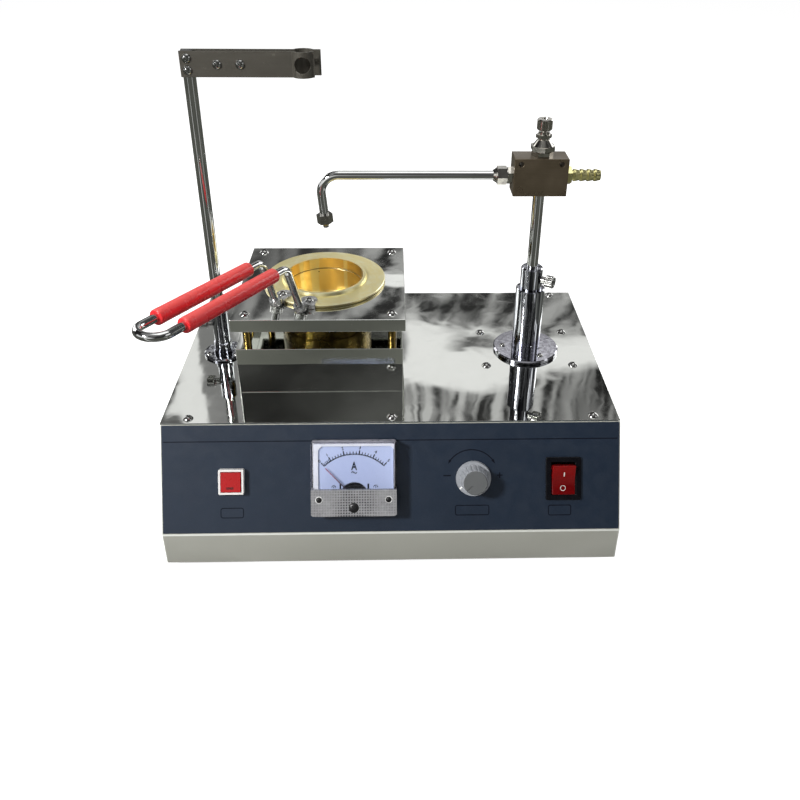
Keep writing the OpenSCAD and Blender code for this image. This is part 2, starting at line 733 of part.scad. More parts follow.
module gas_block() color([0.28, 0.25, 0.2]) difference() {
    translate([block_x0, column_y - gas_block_d / 2, block_z0])
        cube([gas_block_w, gas_block_d, gas_block_h]);
    translate([column_x, column_y, block_z0 - 1]) cylinder(d = rod_d, h = 9);
    translate([column_x, column_y, block_z1 - 10]) cylinder(d = 9, h = 11);
    along_x(block_x0 - 1, column_y, tube_z) cylinder(d = flame_tube_d, h = 11);
    along_x(block_x1 - 9, column_y, tube_z) cylinder(d = 8, h = 10);
    along_x(block_x0 + 5, column_y, tube_z) cylinder(d = 4, h = gas_block_w - 10);
    for (x = [block_x0 + 5.3, block_x1 - 5.3])
        translate([x, column_y, block_z1 - 4.3]) rotate([90, 0, 0])
            cylinder(d = 4, h = gas_block_d + 2, center = true);
}

// Ridges of the barb, each a cone that rises away from the hose's end
module hose_barb() color([0.8, 0.66, 0.3]) along_x(block_x1, column_y, tube_z) difference() {
    union() {
        translate([0, 0, -8]) cylinder(d = 8, h = 9);
        cylinder(d = 14.6, h = 4, $fn = 6);
        translate([0, 0, 4]) cylinder(d = 8, h = barb_len);
        for (i = [0 : 3])
            translate([0, 0, 6 + i * 5.4]) {
                cylinder(d = 9.6, h = 1.2);
                translate([0, 0, 1.2]) cylinder(d1 = 9.6, d2 = 8, h = 3.2);
            }
    }
    translate([0, 0, -9]) cylinder(d = 4.5, h = barb_len + 20);
}

module tube_fitting() color([0.45, 0.45, 0.46]) along_x(block_x0, column_y, tube_z) mirror([0, 0, 1])
    difference() {
        union() {
            cylinder(d = 14, h = 3.6, $fn = 6);
            translate([0, 0, 3.6]) cylinder(d = 10, h = 0.8);
            translate([0, 0, 4.4]) rotate([0, 0, 30]) cylinder(d = 15, h = 7.4, $fn = 6);
            translate([0, 0, 11.8]) cylinder(d1 = 12.4, d2 = 8.4, h = 3);
        }
        translate([0, 0, -1]) cylinder(d = flame_tube_d, h = 17);
    }

// The end of the bend, with Z along the drop and pointing back up it
module on_drop() {
    translate([
        tube_x0 - flame_bend_r * sin(flame_bend),
        column_y,
        tube_z - flame_bend_r + flame_bend_r * cos(flame_bend),
    ]) rotate([0, 90 - flame_bend, 0]) children();
}

// The whole run of the flame tube at the diameter d, longer by extra at both ends
module tube_run(d, extra) {
    along_x(tube_x0 - bend_lap, column_y, tube_z)
        cylinder(d = d, h = block_x0 + 9 - tube_x0 + bend_lap + extra);
    translate([tube_x0, column_y, tube_z - flame_bend_r]) rotate([90, 0, 0]) rotate([0, 0, 90])
        rotate_extrude(angle = flame_bend) translate([flame_bend_r, 0]) circle(d = d - bend_thinning);
    on_drop() translate([0, 0, -flame_drop - extra]) cylinder(d = d, h = flame_drop + extra + bend_lap);
}

module flame_tube() color([0.62, 0.63, 0.65]) difference() {
    tube_run(flame_tube_d, 0);
    tube_run(tube_bore, 1);
}

module nozzle() color([0.6, 0.6, 0.6]) on_drop() mirror([0, 0, 1]) difference() {
    union() {
        translate([0, 0, flame_drop - 3.2]) cylinder(d = 13, h = 7.2, $fn = 6);
        translate([0, 0, flame_drop + 4]) cylinder(d1 = 9.6, d2 = 5, h = 2.2);
        translate([0, 0, flame_drop + 6.2]) cylinder(d = 4.4, h = 1.8);
    }
    translate([0, 0, flame_drop - 4]) cylinder(d = flame_tube_d, h = 4);
    translate([0, 0, flame_drop - 1]) cylinder(d = 1.6, h = 12);
}

module valve_body() color([0.55, 0.54, 0.5]) translate([column_x, column_y, 0]) difference() {
    union() {
        translate([0, 0, block_z1 - 9]) cylinder(d = 9, h = 10);
        translate([0, 0, block_z1]) cylinder(d = 17, h = 3.4, $fn = 6);
        translate([0, 0, block_z1 + 3.4]) cylinder(d = 12, h = 1);
        translate([0, 0, block_z1 + 4.4]) rotate([0, 0, 30]) cylinder(d = 19.6, h = 3.6, $fn = 6);
        translate([0, 0, block_z1 + 8]) cylinder(d1 = 16, d2 = 9.5, h = 4.5);
        translate([0, 0, block_z1 + 12.4]) cylinder(d = 8.4, h = valve_neck_z - block_z1 - 12.4);
        translate([0, 0, block_z1 + 14]) cylinder(d = 12.4, h = 2.6, $fn = 6);
        translate([0, 0, valve_neck_z]) cylinder(d = 8.6, h = 3);
    }
    translate([0, 0, block_z1 - 5]) cylinder(d = 4 + 2 * run_fit, h = 40);
}

module valve_knob() color([0.5, 0.5, 0.5]) translate([column_x, column_y, 0]) difference() {
    rotate_extrude() polygon([
        [0, block_z1 - 4], [1, block_z1 - 2], [2, block_z1], [2, knob_z0], [5.2, knob_z0],
        [5.9, knob_z0 + 0.7], [5.9, knob_z0 + 7.6], [5.3, knob_z0 + 8.4], [2.6, knob_z0 + 8.4],
        [2.2, knob_z0 + 7.4], [0, knob_z0 + 7.4],
    ]);
    for (a = [0 : 15 : 345])
        rotate([0, 0, a]) translate([6.1, 0, knob_z0 + 4]) rotate([0, 0, 45])
            cube([0.7, 0.7, 10], center = true);
}

post_screw_xy = [for (a = [90, 210, 330]) [post_x + 13 * cos(a), post_y + 13 * sin(a)]];

module post_flange() color([0.55, 0.57, 0.6]) difference() {
    translate([post_x, post_y, 0]) rotate_extrude() polygon([
        [post_tube_d / 2 + run_fit, plate_top], [post_flange_d / 2, plate_top],
        [post_flange_d / 2, plate_top + post_flange_t - 1], [post_flange_d / 2 - 1, plate_top + post_flange_t],
        [post_hub_d / 2, plate_top + post_flange_t], [post_hub_d / 2, plate_top + post_flange_t + post_hub_h],
        [post_tube_d / 2 + run_fit, plate_top + post_flange_t + post_hub_h],
    ]);
    holes(post_screw_xy, 2.9, plate_top, post_flange_t);
}

module post_screws() color([0.8, 0.8, 0.8])
    at_each(post_screw_xy, plate_top + post_flange_t) pan_screw(5, 2.5, post_flange_t + sheet, 1.6);

module post_tube() color([0.74, 0.75, 0.76]) difference() {
    hub_top = plate_top + post_flange_t + post_hub_h;
    translate([post_x, post_y, 0]) rotate_extrude() polygon([
        [rod_d / 2 + run_fit, post_tube_z0], [post_tube_d / 2, post_tube_z0],
        [post_tube_d / 2, hub_top + 0.3], [post_tube_d / 2 + 0.8, hub_top + 0.3],
        [post_tube_d / 2 + 0.8, hub_top + 5.8], [post_tube_d / 2, hub_top + 6.2],
        [post_tube_d / 2, post_tube_top - 0.8], [post_tube_d / 2 - 0.8, post_tube_top],
        [rod_d / 2 + run_fit, post_tube_top],
    ]);
    on_post_thumb() cylinder(d = 4.08, h = post_tube_d);
}

// Puts Z along the post screw's axis, which points to the left
module on_post_thumb() {
    translate([post_x, post_y, post_thumb_z]) rotate([0, -90, 0]) children();
}

module post_thumbscrew() color([0.78, 0.78, 0.79]) on_post_thumb()
    translate([0, 0, post_tube_d / 2 + 0.3]) thumb_screw(post_tube_d / 2 - rod_d / 2 + 0.1);

module thermometer_rod() color([0.5, 0.5, 0.48]) difference() {
    translate([post_x, post_y, post_rod_z0]) cylinder(d = rod_d, h = arm_z + arm_h - post_rod_z0);
    for (side = [-1, 1])
        translate([post_x - rod_d, post_y + side * (arm_gap / 2 + 5) - 5, arm_z])
            cube([2 * rod_d, 10, 2 * arm_h]);
    for (z = [arm_z + leaf_screw_inset, arm_z + arm_h - leaf_screw_inset])
        translate([post_x, post_y, z]) rotate([90, 0, 0]) cylinder(d = 3, h = 20, center = true);
}

// Plan of one strip of the arm, with its half-round cheek for the thermometer
module leaf_plan(length) {
    difference() {
        union() {
            translate([arm_end_left, arm_gap / 2]) square([length - arm_end_left, arm_t]);
            intersection() {
                translate([arm_reach, 0]) circle(thermometer_d / 2 + arm_t);
                translate([0, arm_gap / 2]) square([2 * arm_reach, arm_reach]);
            }
        }
        translate([arm_reach, 0]) circle(thermometer_d / 2);
    }
}

module leaf_holes(d) {
    for (z = [arm_z + leaf_screw_inset, arm_z + arm_h - leaf_screw_inset])
        translate([0, 0, z]) rotate([90, 0, 0]) cylinder(d = d, h = 40, center = true);
    for (x = leaf_screw_x)
        translate([x, 0, arm_z + arm_h / 2]) rotate([90, 0, 0]) cylinder(d = d, h = 40, center = true);
}

module front_leaf() color([0.3, 0.29, 0.26]) translate([post_x, post_y, 0]) difference() {
    translate([0, 0, arm_z]) linear_extrude(arm_h) mirror([0, 1]) leaf_plan(arm_reach + arm_end);
    leaf_holes(3.4);
    translate([arm_reach, 0, arm_z + arm_h / 2]) rotate([90, 0, 0]) cylinder(d = window_d, h = 20);
}

module rear_leaf() color([0.3, 0.29, 0.26]) translate([post_x, post_y, 0]) difference() {
    translate([0, 0, arm_z]) linear_extrude(arm_h) leaf_plan(arm_reach + arm_end + rear_extra);
    leaf_holes(3);
}

module leaf_screws() color([0.8, 0.8, 0.8])
    translate([post_x, post_y - arm_gap / 2 - arm_t, 0]) {
        for (z = [arm_z + leaf_screw_inset, arm_z + arm_h - leaf_screw_inset])
            translate([0, 0, z]) rotate([90, 0, 0]) pan_screw(7, 3, arm_gap + 2 * arm_t, 2.3);
        for (x = leaf_screw_x)
            translate([x, 0, arm_z + arm_h / 2]) rotate([90, 0, 0])
                pan_screw(7, 3, arm_gap + 2 * arm_t, 2.3);
    }

module ammeter_case() color([0.12, 0.12, 0.13]) on_panel(meter_x, meter_s) difference() {
    union() {
        translate([0, 0, -24]) cylinder(d = case_d, h = 24 + panel_film + 0.2);
        panel_block(meter_w, meter_h, panel_film, panel_film + meter_base_t, 2);
        translate([0, -pivot_drop, 0]) cylinder(r = 10.6, h = dial_n + dial_t + 0.6);
        for (x = [-24, 24], y = [-10, 20])
            translate([x, y, panel_film]) cylinder(d = 5, h = dial_n - panel_film);
    }
    translate([0, -pivot_drop, needle_n - 6]) cylinder(d = 1.6 + 2 * run_fit, h = 10);
    panel_block(meter_w - 12, 12, panel_film + 0.8, panel_film + 5);
}

module ammeter_dial() color([0.8, 0.83, 0.92]) on_panel(meter_x, meter_s) difference() {
    translate([0, 4, 0])
        panel_block(meter_w - 2 * meter_wall - 1, meter_h - 2 * meter_wall - 9, dial_n, dial_n + dial_t, 1);
    translate([0, -pivot_drop, dial_n - 1]) cylinder(r = 11, h = 3);
}

// The needle lies at zero, to the left of upright
module ammeter_needle() color([0.55, 0.15, 0.15]) on_panel(meter_x, meter_s)
    translate([0, -pivot_drop, 0]) rotate([0, 0, needle_rest]) {
        translate([0, 0, needle_n - 5]) cylinder(d = 1.6, h = 5.2);
        translate([0, 0, needle_n]) cylinder(r = 2.6, h = 0.6);
        translate([0, 0, needle_n]) linear_extrude(0.5)
            polygon([[-0.55, -5], [0.55, -5], [0.3, needle_r], [-0.3, needle_r]]);
    }

// The meter's clear front is a shell over the dial, from the band upwards
module ammeter_window() color([0.85, 0.9, 0.95, 0.35]) on_panel(meter_x, meter_s) difference() {
    intersection() {
        panel_block(meter_w, meter_h, panel_film + meter_base_t, meter_top_n, 2);
        translate([-meter_w, -meter_h / 2 + band_h, 0]) cube([2 * meter_w, meter_h, 20]);
    }
    translate([-meter_w / 2 + meter_wall, -meter_h / 2, 0])
        cube([meter_w - 2 * meter_wall, meter_h - meter_wall, meter_top_n - meter_wall]);
}

module ammeter_band() color([0.6, 0.6, 0.6]) on_panel(meter_x, meter_s) difference() {
    intersection() {
        panel_block(meter_w, meter_h, panel_film + meter_base_t, meter_top_n, 2);
        translate([-meter_w, -meter_h / 2 - 1, 0]) cube([2 * meter_w, band_h + 1, 20]);
    }
    translate([-meter_w / 2 + meter_wall, -meter_h / 2 + meter_wall, 0])
        cube([meter_w - 2 * meter_wall, meter_h, meter_top_n - 2 * meter_wall]);
    for (x = [-26, 26])
        translate([x, -15.5, 0]) cylinder(d = 3, h = 20);
    translate([0, -21.5, 0]) cylinder(d = 7, h = 20);
}

module ammeter_screws() color([0.1, 0.1, 0.1]) on_panel(meter_x, meter_s) {
    for (x = [-26, 26])
        translate([x, -15.5, meter_top_n]) pan_screw(4.4, 3, 2 * meter_wall, 1.2);
    translate([0, -21.5, meter_top_n]) pan_screw(7.6, 7, 2 * meter_wall, 1.4);
}

module button_frame() color([0.92, 0.92, 0.9]) on_panel(button_x, button_s) difference() {
    union() {
        panel_block(button_frame, button_frame, panel_film, panel_film + button_frame_t, 1);
        translate([0, 0, -20]) cylinder(d = 16, h = 20 + panel_film + 0.2);
    }
    panel_block(cap_w + 0.6, cap_w + 0.6, panel_film + pocket_floor, 10);
    translate([0, 0, -12]) cylinder(d = 12.4, h = 15);
}

module button_cap() color([0.8, 0.12, 0.12]) on_panel(button_x, button_s) {
    cap_n = panel_film + pocket_floor + button_travel + 0.3;
    panel_block(cap_w, cap_w, cap_n, panel_film + button_frame_t + cap_proud, 0.6);
    translate([0, 0, -6]) cylinder(d = 12, h = cap_n + 6.5);
}

module potentiometer() color([0.35, 0.4, 0.38]) on_panel(knob_x, knob_s) difference() {
    union() {
        translate([0, 0, -14 - sheet]) cylinder(d = 24, h = 14);
        translate([0, 0, -sheet - 0.2]) cylinder(d = 9, h = sheet + panel_film + 0.2);
    }
    translate([0, 0, -11]) cylinder(d = pot_shaft_d + 2 * run_fit, h = 20);
}

// The knob and its shaft; the pointer groove is at the lower left when turned down
module heat_knob() color([0.55, 0.56, 0.57]) on_panel(knob_x, knob_s) difference() {
    base = panel_film + 0.4;
    union() {
        translate([0, 0, -10]) cylinder(d = pot_shaft_d, h = 12);
        translate([0, 0, base]) cylinder(d1 = knob_d, d2 = knob_d - 1, h = 2.6);
        translate([0, 0, base + 2.5]) cylinder(d1 = 22, d2 = 19, h = knob_h - 3.7);
        translate([0, 0, base + knob_h - 1.2]) cylinder(d1 = 19, d2 = 17, h = 1.2);
    }
    for (a = [0 : 20 : 340])
        rotate([0, 0, a]) translate([11.4, 0, base + 2.6]) rotate([0, -7, 0]) cylinder(d = 2, h = 20);
    rotate([0, 0, 135]) translate([-0.6, 3, base + knob_h - 0.5]) cube([1.2, 9, 2]);
}

module switch_frame() color([0.08, 0.08, 0.08]) on_panel(switch_x, switch_s) difference() {
    union() {
        panel_block(switch_w, switch_h, panel_film, panel_film + frame_t, 1.5);
        panel_block(switch_body_w, switch_body_h, -22, panel_film + 0.2);
    }
    panel_block(pocket_w, pocket_h, panel_film - 9, panel_film + 5);
}

// The rocker rests with its lower end pressed in
module power_rocker() color([0.6, 0.08, 0.06]) on_panel(switch_x, switch_s, panel_film)
    rotate([rocker_tilt, 0, 0]) rotate([90, 0, 90])
        linear_extrude(rocker_w, center = true) polygon([
            [-9.5, -5], [9.5, -5], [rocker_half, rocker_peak], [0, rocker_flat],
            [-rocker_half, rocker_peak],
        ]);

board_xy = [for (x = [-1, 1], y = [-1, 1]) [20 + x * 42, 33 + y * 28]];

module regulator_board() color([0.1, 0.35, 0.2]) translate([0, board_y, 0]) {
    difference() {
        translate([-27, 0, foot_h + sheet + 8]) cube([94, 66, 1.6]);
        holes(board_xy, 3, foot_h + sheet + 8, 1.6);
    }
    at_each(board_xy, foot_h + sheet) cylinder(d = 6, h = 8);
    // Heat sink, capacitor and terminal block
    translate([-15, 7, foot_h + sheet + 9.6]) {
        cube([40, 3, 24]);
        for (i = [0 : 5])
            translate([i * 7.4, 3, 0]) cube([1.4, 12, 24]);
    }
    translate([48, 19, foot_h + sheet + 9.6]) cylinder(d = 13, h = 18);
    translate([-15, 47, foot_h + sheet + 9.6]) cube([50, 10, 11]);
}

module mains_inlet() color([0.1, 0.1, 0.1]) translate([inlet_x, back_y, inlet_z]) {
    difference() {
        union() {
            translate([-24, 0, -11.5]) cube([48, 3, 23]);
            translate([-13.8, -18, -10]) cube([27.6, 18.2, 20]);
        }
        translate([-12.3, -15, -8.4]) cube([24.6, 20, 16.8]);
        for (x = [-20, 20])
            translate([x, 0, 0]) rotate([90, 0, 0]) cylinder(d = 3, h = 10, center = true);
    }
    for (p = [[-7, -2], [7, -2], [0, 2.4]])
        translate([p[0] - 1, -16, p[1] - 2]) cube([2, 13, 4]);
    for (x = [-20, 20])
        translate([x, 3, 0]) rotate([-90, 0, 0]) pan_screw(5.5, 3, 3 + sheet, 1.8);
}

module fuse_holder() color([0.1, 0.1, 0.1]) translate([fuse_x, back_y, inlet_z]) rotate([-90, 0, 0])
    difference() {
        union() {
            translate([0, 0, -28]) cylinder(d = 12, h = 28.2);
            cylinder(d = 17, h = 2.2);
            translate([0, 0, 2]) cylinder(d1 = 13.4, d2 = 12.4, h = 10.8);
        }
        translate([0, 0, 12.8]) cube([8, 1.4, 2.4], center = true);
    }

housing_shell();
bottom_plate();
bottom_screws();
rubber_feet();
foot_screws();
front_panel();
top_plate();
top_plate_screws();
furnace_box();
furnace_cover();
cover_standoffs();
cover_screws();
heating_plate();
heater_former();
heater_coil();
cup();
handle_clamps();
handle_screws();
handle_rod();
handle_sleeves();
flame_column();
column_screws();
spindle();
shaft_coupling();
motor_shaft();
scan_motor();
motor_bracket();
bracket_spacers();
flame_rod();
flame_thumbscrew();
gas_block();
hose_barb();
tube_fitting();
flame_tube();
nozzle();
valve_body();
valve_knob();
post_flange();
post_screws();
post_tube();
post_thumbscrew();
thermometer_rod();
front_leaf();
rear_leaf();
leaf_screws();
ammeter_case();
ammeter_dial();
ammeter_needle();
ammeter_window();
ammeter_band();
ammeter_screws();
button_frame();
button_cap();
potentiometer();
heat_knob();
switch_frame();
power_rocker();
regulator_board();
mains_inlet();
fuse_holder();
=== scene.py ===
"""Looks of the open-cup flash point tester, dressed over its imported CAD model.

In the CAD frame: X to the right, Y away from the user, Z up. Objects and finishes are in
metres; places on the pieces, prints and corners are given in millimetres.
"""

import json
import math

import bmesh
import bpy
import numpy as np
from mathutils import Matrix, Vector


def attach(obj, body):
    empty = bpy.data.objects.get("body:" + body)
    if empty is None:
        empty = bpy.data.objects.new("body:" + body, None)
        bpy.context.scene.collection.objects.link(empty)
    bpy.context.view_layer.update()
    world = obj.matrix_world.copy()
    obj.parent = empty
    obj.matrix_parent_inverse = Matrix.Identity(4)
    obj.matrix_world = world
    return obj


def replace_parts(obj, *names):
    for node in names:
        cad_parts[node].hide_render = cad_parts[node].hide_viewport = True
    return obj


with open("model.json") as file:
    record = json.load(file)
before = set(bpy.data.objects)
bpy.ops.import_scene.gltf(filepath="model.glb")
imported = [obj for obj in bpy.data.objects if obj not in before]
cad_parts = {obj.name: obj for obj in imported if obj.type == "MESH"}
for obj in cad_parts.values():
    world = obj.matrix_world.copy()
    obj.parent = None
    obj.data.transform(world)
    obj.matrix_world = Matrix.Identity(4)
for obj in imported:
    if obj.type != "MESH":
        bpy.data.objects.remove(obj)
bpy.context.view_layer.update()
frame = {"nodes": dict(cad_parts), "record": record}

MM = 0.001
PHOTO = 800  # pixels along each side of the photograph
SLOTS = {p["node"]: p["material_slot"] for p in frame["record"]["subparts"]}
BODY_OF = {n: b for b, ns in frame["record"]["behaviour"]["bodies"].items() for n in ns}

# Camera, found from the straight edges of the housing: metres, degrees, pixels, millimetres
CAMERA_PLACE = (0.00105, -0.57289, 0.48484)
PITCH, YAW, ROLL = (math.radians(a) for a in (29.80, 1.81, 0.60))
FOCAL_PX, CENTRE_PX = 814.4, (415.1, 324.4)
SENSOR = 36.0

# The sloped panel: a point on its upper edge, its lean, and its directions up and outwards
PANEL_TOP = np.array([0.0, -72.5, 113.0])
LEAN = math.atan2(39, 76)
UP = np.array([0.0, math.sin(LEAN), math.cos(LEAN)])
OUT = np.array([0.0, -math.cos(LEAN), math.sin(LEAN)])
# Thickness of the panel's film and of printed ink, and how far ink floats over its ground
FILM = 0.8
PRINT = 0.05
LIFT = 0.01

# Middles of the pieces on the panel: across, and down the slope from its upper edge
METER = (-28.7, 40.9)
KNOB = (62.0, 43.8)
SWITCH = (130.7, 44.4)
BUTTON = (-121.2, 43.9)

# Upright axes: x and y
CUP_AXIS = (-55.0, 34.0)
COLUMN = (116.7, 33.0)
POST = (-144.3, 29.3)


def srgb(r, g, b, a=1.0):
    """A colour given as 0 to 255 in display values, as linear light."""
    c = np.array([r, g, b]) / 255
    c = np.where(c <= 0.04045, c / 12.92, ((c + 0.055) / 1.055) ** 2.4)
    return (*map(float, c), a)


# ---------------------------------------------------------------- shader maths


class Value:
    """A shader value; an expression on it adds its Math nodes."""

    def __init__(self, tree, socket):
        self.tree, self.socket = tree, socket

    def math(self, operation, *others):
        inputs = dict(enumerate((self, *others)))
        return self.tree.node("Math", inputs, operation=operation)

    def __add__(self, o):
        return self.math("ADD", o)

    def __sub__(self, o):
        return self.math("SUBTRACT", o)

    def __mul__(self, o):
        return self.math("MULTIPLY", o)

    def __truediv__(self, o):
        return self.math("DIVIDE", o)

    def __rsub__(self, o):
        return self.tree.node("Math", {0: o, 1: self}, operation="SUBTRACT")

    __radd__, __rmul__ = __add__, __mul__

    def __gt__(self, o):
        return self.math("GREATER_THAN", o)

    def __lt__(self, o):
        return self.math("LESS_THAN", o)

    def near(self, centre, reach):
        """1 where the value is within reach of centre, else 0."""
        return self.math("COMPARE", centre, reach)

    def fade(self, low, high, to_low=0.0, to_high=1.0):
        """A smooth step from to_low at low to to_high at high."""
        inputs = {0: self, 1: low, 2: high, 3: to_low, 4: to_high}
        return self.tree.node("MapRange", inputs, interpolation_type="SMOOTHSTEP")


class Tree:
    """A node tree, with methods that add nodes and give their outputs."""

    def __init__(self, owner):
        owner.use_nodes = True
        self.tree = owner.node_tree
        self.tree.nodes.clear()

    def node(self, kind, inputs=(), out=0, **settings):
        """A shader node with its inputs linked or set; gives one of its outputs."""
        made = self.tree.nodes.new("ShaderNode" + kind)
        for key, value in settings.items():
            setattr(made, key, value)
        for key, value in dict(inputs).items():
            if isinstance(value, Value):
                self.tree.links.new(value.socket, made.inputs[key])
            else:
                made.inputs[key].default_value = value
        return Value(self, made.outputs[out] if made.outputs else None)

    def blend(self, factor, a, b):
        return self.node("Mix", {0: factor, 6: a, 7: b}, out=2, data_type="RGBA")

    def place(self):
        return self.node("TexCoord", out="Object")

    def axes(self, vector=None):
        """The x, y and z of a vector, or of the point's own place."""
        vector = vector or self.place()
        return [self.node("SeparateXYZ", {0: vector}, out=i) for i in range(3)]

    def scaled(self, factors):
        """The point's place, stretched by factors."""
        return self.node("VectorMath", {0: self.place(), 1: factors}, operation="MULTIPLY")

    def noise(self, scale, detail=3.0, roughness=0.5, distortion=0.0, vector=None):
        inputs = {
            "Vector": vector or self.place(),
            "Scale": scale,
            "Detail": detail,
            "Roughness": roughness,
            "Distortion": distortion,
        }
        return self.node("TexNoise", inputs)

    def along(self, direction, origin):
        """How far a point lies from origin along a direction."""
        inputs = {0: self.place(), 1: tuple(origin)}
        moved = self.node("VectorMath", inputs, operation="SUBTRACT")
        return self.dot(moved, direction)

    def dot(self, vector, direction):
        inputs = {0: vector, 1: tuple(direction)}
        return self.node("VectorMath", inputs, out="Value", operation="DOT_PRODUCT")

    def normal_up(self):
        """How far the surface faces upwards, from -1 to 1."""
        return self.axes(self.node("NewGeometry", out="Normal"))[2]

    def ray(self, kind):
        """1 for rays of one kind, else 0."""
        return self.node("LightPath", out=f"Is {kind} Ray")

    def radius(self, centre):
        """How far a point lies from an upright axis."""
        x, y, _ = self.axes()
        return length(x - centre[0] * MM, y - centre[1] * MM)

    def angle(self, centre):
        """A point's direction from an upright axis, in radians."""
        x, y, _ = self.axes()
        return (y - centre[1] * MM).math("ARCTAN2", x - centre[0] * MM)

    def join(self, x, y, z):
        return self.node("CombineXYZ", {0: x, 1: y, 2: z})


def length(a, b):
    """The length of a plane vector whose two parts are shader values."""
    return (a * a + b * b).math("SQRT")


class Finish(Tree):
    """A material for the surfaces of one slot."""

    def __init__(self, name):
        self.material = bpy.data.materials.new(name)
        super().__init__(self.material)

    def surface(self, base, bump=(), **sockets):
        """One Principled shader; bump is a list of (height, distance) pairs."""
        inputs = {"Base Color": base}
        normal = None
        for height, distance in bump:
            more = {"Height": height, "Distance": distance, "Strength": 1.0}
            if normal:
                more["Normal"] = normal
            normal = self.node("Bump", more)
        if normal:
            inputs["Normal"] = normal
        for key, value in sockets.items():
            inputs[key.replace("_", " ").title().replace("Ior", "IOR")] = value
        self.node("OutputMaterial", {0: self.node("BsdfPrincipled", inputs)})
        return self.material

    def on_slope(self, place):
        """How far a point lies up the slope, across and outwards from a place on the panel."""
        origin = (PANEL_TOP - UP * place[1] + np.array([place[0], 0, 0])) * MM
        return [self.along(way, origin) for way in (UP, (1, 0, 0), OUT)]


# ------------------------------------------------------------------- finishes

# In metres: y and z of the housing's fold at the slope's foot, radii and heights of the cup,
# and the pitch of the meter band's dots
SLOPE_FOOT = (-0.1115, 0.037)
BORE_R, FLANGE_R = 0.03175, 0.0497
FLANGE_TOP, FILL_LINE = 0.1823, 0.1757
DOT_PITCH = 0.002


def beige_paint():
    """Powder coat with an orange-peel skin; its side walls and folded edges are painted pale as
    highlights.
    """
    f = Finish("beige_paint")
    x, y, z = f.axes()
    cloud = f.noise(14, 4)
    # Painted highlights: the fold at the slope's foot, the panel's brow, the side walls and the
    # sloped face round the film are made paler, as if catching the light.
    fold = length(y - SLOPE_FOOT[0], z - SLOPE_FOOT[1]).fade(0.0004, 0.0012, 1, 0)
    brow_y, brow_z = PANEL_TOP[1] * MM, PANEL_TOP[2] * MM
    brow = length(y - brow_y, z - brow_z).fade(0.001, 0.0018, 1, 0)
    sides_painted_lit = x.math("ABSOLUTE").fade(0.1738, 0.1748)
    slope = f.along(OUT, PANEL_TOP * MM).fade(-0.0012, -0.0002) * (y < brow_y) * (z > 0.045)
    edges = fold.math("MAXIMUM", sides_painted_lit).math("MAXIMUM", slope * 0.5).math("MAXIMUM", brow)
    base = f.blend(cloud, srgb(152, 152, 143), srgb(163, 163, 154))
    # Lay the painted highlights over the powder coat.
    base = f.blend(edges * 0.85, base, srgb(232, 234, 227))
    roughness = f.noise(60, 3).fade(0.3, 0.7, 0.36, 0.5)
    return f.surface(base, [(f.noise(900, 2), 0.00002)], roughness=roughness)


def zinc_plate():
    f = Finish("zinc_plate")
    cells = f.node("TexVoronoi", {"Vector": f.place(), "Scale": 90.0}, out="Color")
    grey = f.node("SeparateColor", {0: cells})
    base = f.blend(grey, srgb(176, 180, 184), srgb(202, 204, 205))
    return f.surface(base, [(grey, 0.00002)], metallic=0.9, roughness=grey.fade(0, 1, 0.3, 0.5))


def screw_steel():
    f = Finish("screw_steel")
    worn = f.noise(700, 3)
    base = f.blend(worn, srgb(132, 132, 130), srgb(178, 178, 176))
    roughness = worn.fade(0.3, 0.7, 0.08, 0.24)
    return f.surface(base, [(worn, 0.00001)], metallic=1.0, roughness=roughness)


def foot_rubber():
    f = Finish("foot_rubber")
    dust = f.noise(300, 4)
    base = f.blend(dust.fade(0.5, 0.8), srgb(26, 26, 27), srgb(58, 57, 54))
    return f.surface(base, [(f.noise(1500, 2), 0.00004)], roughness=dust.fade(0.3, 0.7, 0.6, 0.85))


def panel_film():
    """Slate blue satin film with a fine pebble grain."""
    f = Finish("panel_film")
    cloud = f.noise(25, 4)
    grain = f.noise(2600, 1)
    base = f.blend(cloud, srgb(25, 36, 51), srgb(31, 43, 59))
    base = f.blend(grain.fade(0.55, 0.75) * 0.3, base, srgb(62, 73, 90))
    roughness = f.noise(120, 3).fade(0.3, 0.7, 0.34, 0.48)
    return f.surface(base, [(grain, 0.00003)], roughness=roughness, specular_ior_level=0.45)


def mirror_steel():
    """Polished sheet that is never quite flat, so that its reflections wave."""
    f = Finish("mirror_steel")
    wave = f.noise(9, 2, 0.4, 0.6)
    dent = f.noise(26, 2, 0.5, 0.3)
    haze = f.noise(40, 5, 0.6, 0.5)
    hairline_and_reflection_streaks = f.noise(1.0, 2, vector=f.scaled((40, 900, 900)))
    base = f.blend(haze, srgb(222, 224, 219), srgb(238, 239, 235))
    # Darker streaks along x: partly hairline polish, partly painted reflection streaks.
    base = f.blend(hairline_and_reflection_streaks.fade(0.68, 0.8) * 0.25, base, srgb(160, 162, 160))
    roughness = haze.fade(0.35, 0.75, 0.02, 0.07)
    return f.surface(base, [(wave, 0.00032), (dent, 0.00008)], metallic=1.0, roughness=roughness)


def brass():
    """Turned brass with fine rings: dark and mottled, but paler on the barb."""
    f = Finish("brass")
    x, _, z = f.axes()
    rings = (z * 9000).math("SINE")
    brass_cloud = f.noise(60, 4)
    # Dark mottled brass, and paler brass for the barb.
    darker_brass = f.blend(brass_cloud.fade(0.35, 0.75), srgb(140, 118, 62), srgb(76, 61, 31))
    paler_brass = f.blend(brass_cloud, srgb(232, 226, 168), srgb(206, 198, 138))
    base = f.blend((x > 0.125) * (z > 0.2), darker_brass, paler_brass)
    roughness = brass_cloud.fade(0.3, 0.7, 0.16, 0.34)
    return f.surface(base, [(rings, 0.000012)], metallic=1.0, roughness=roughness)


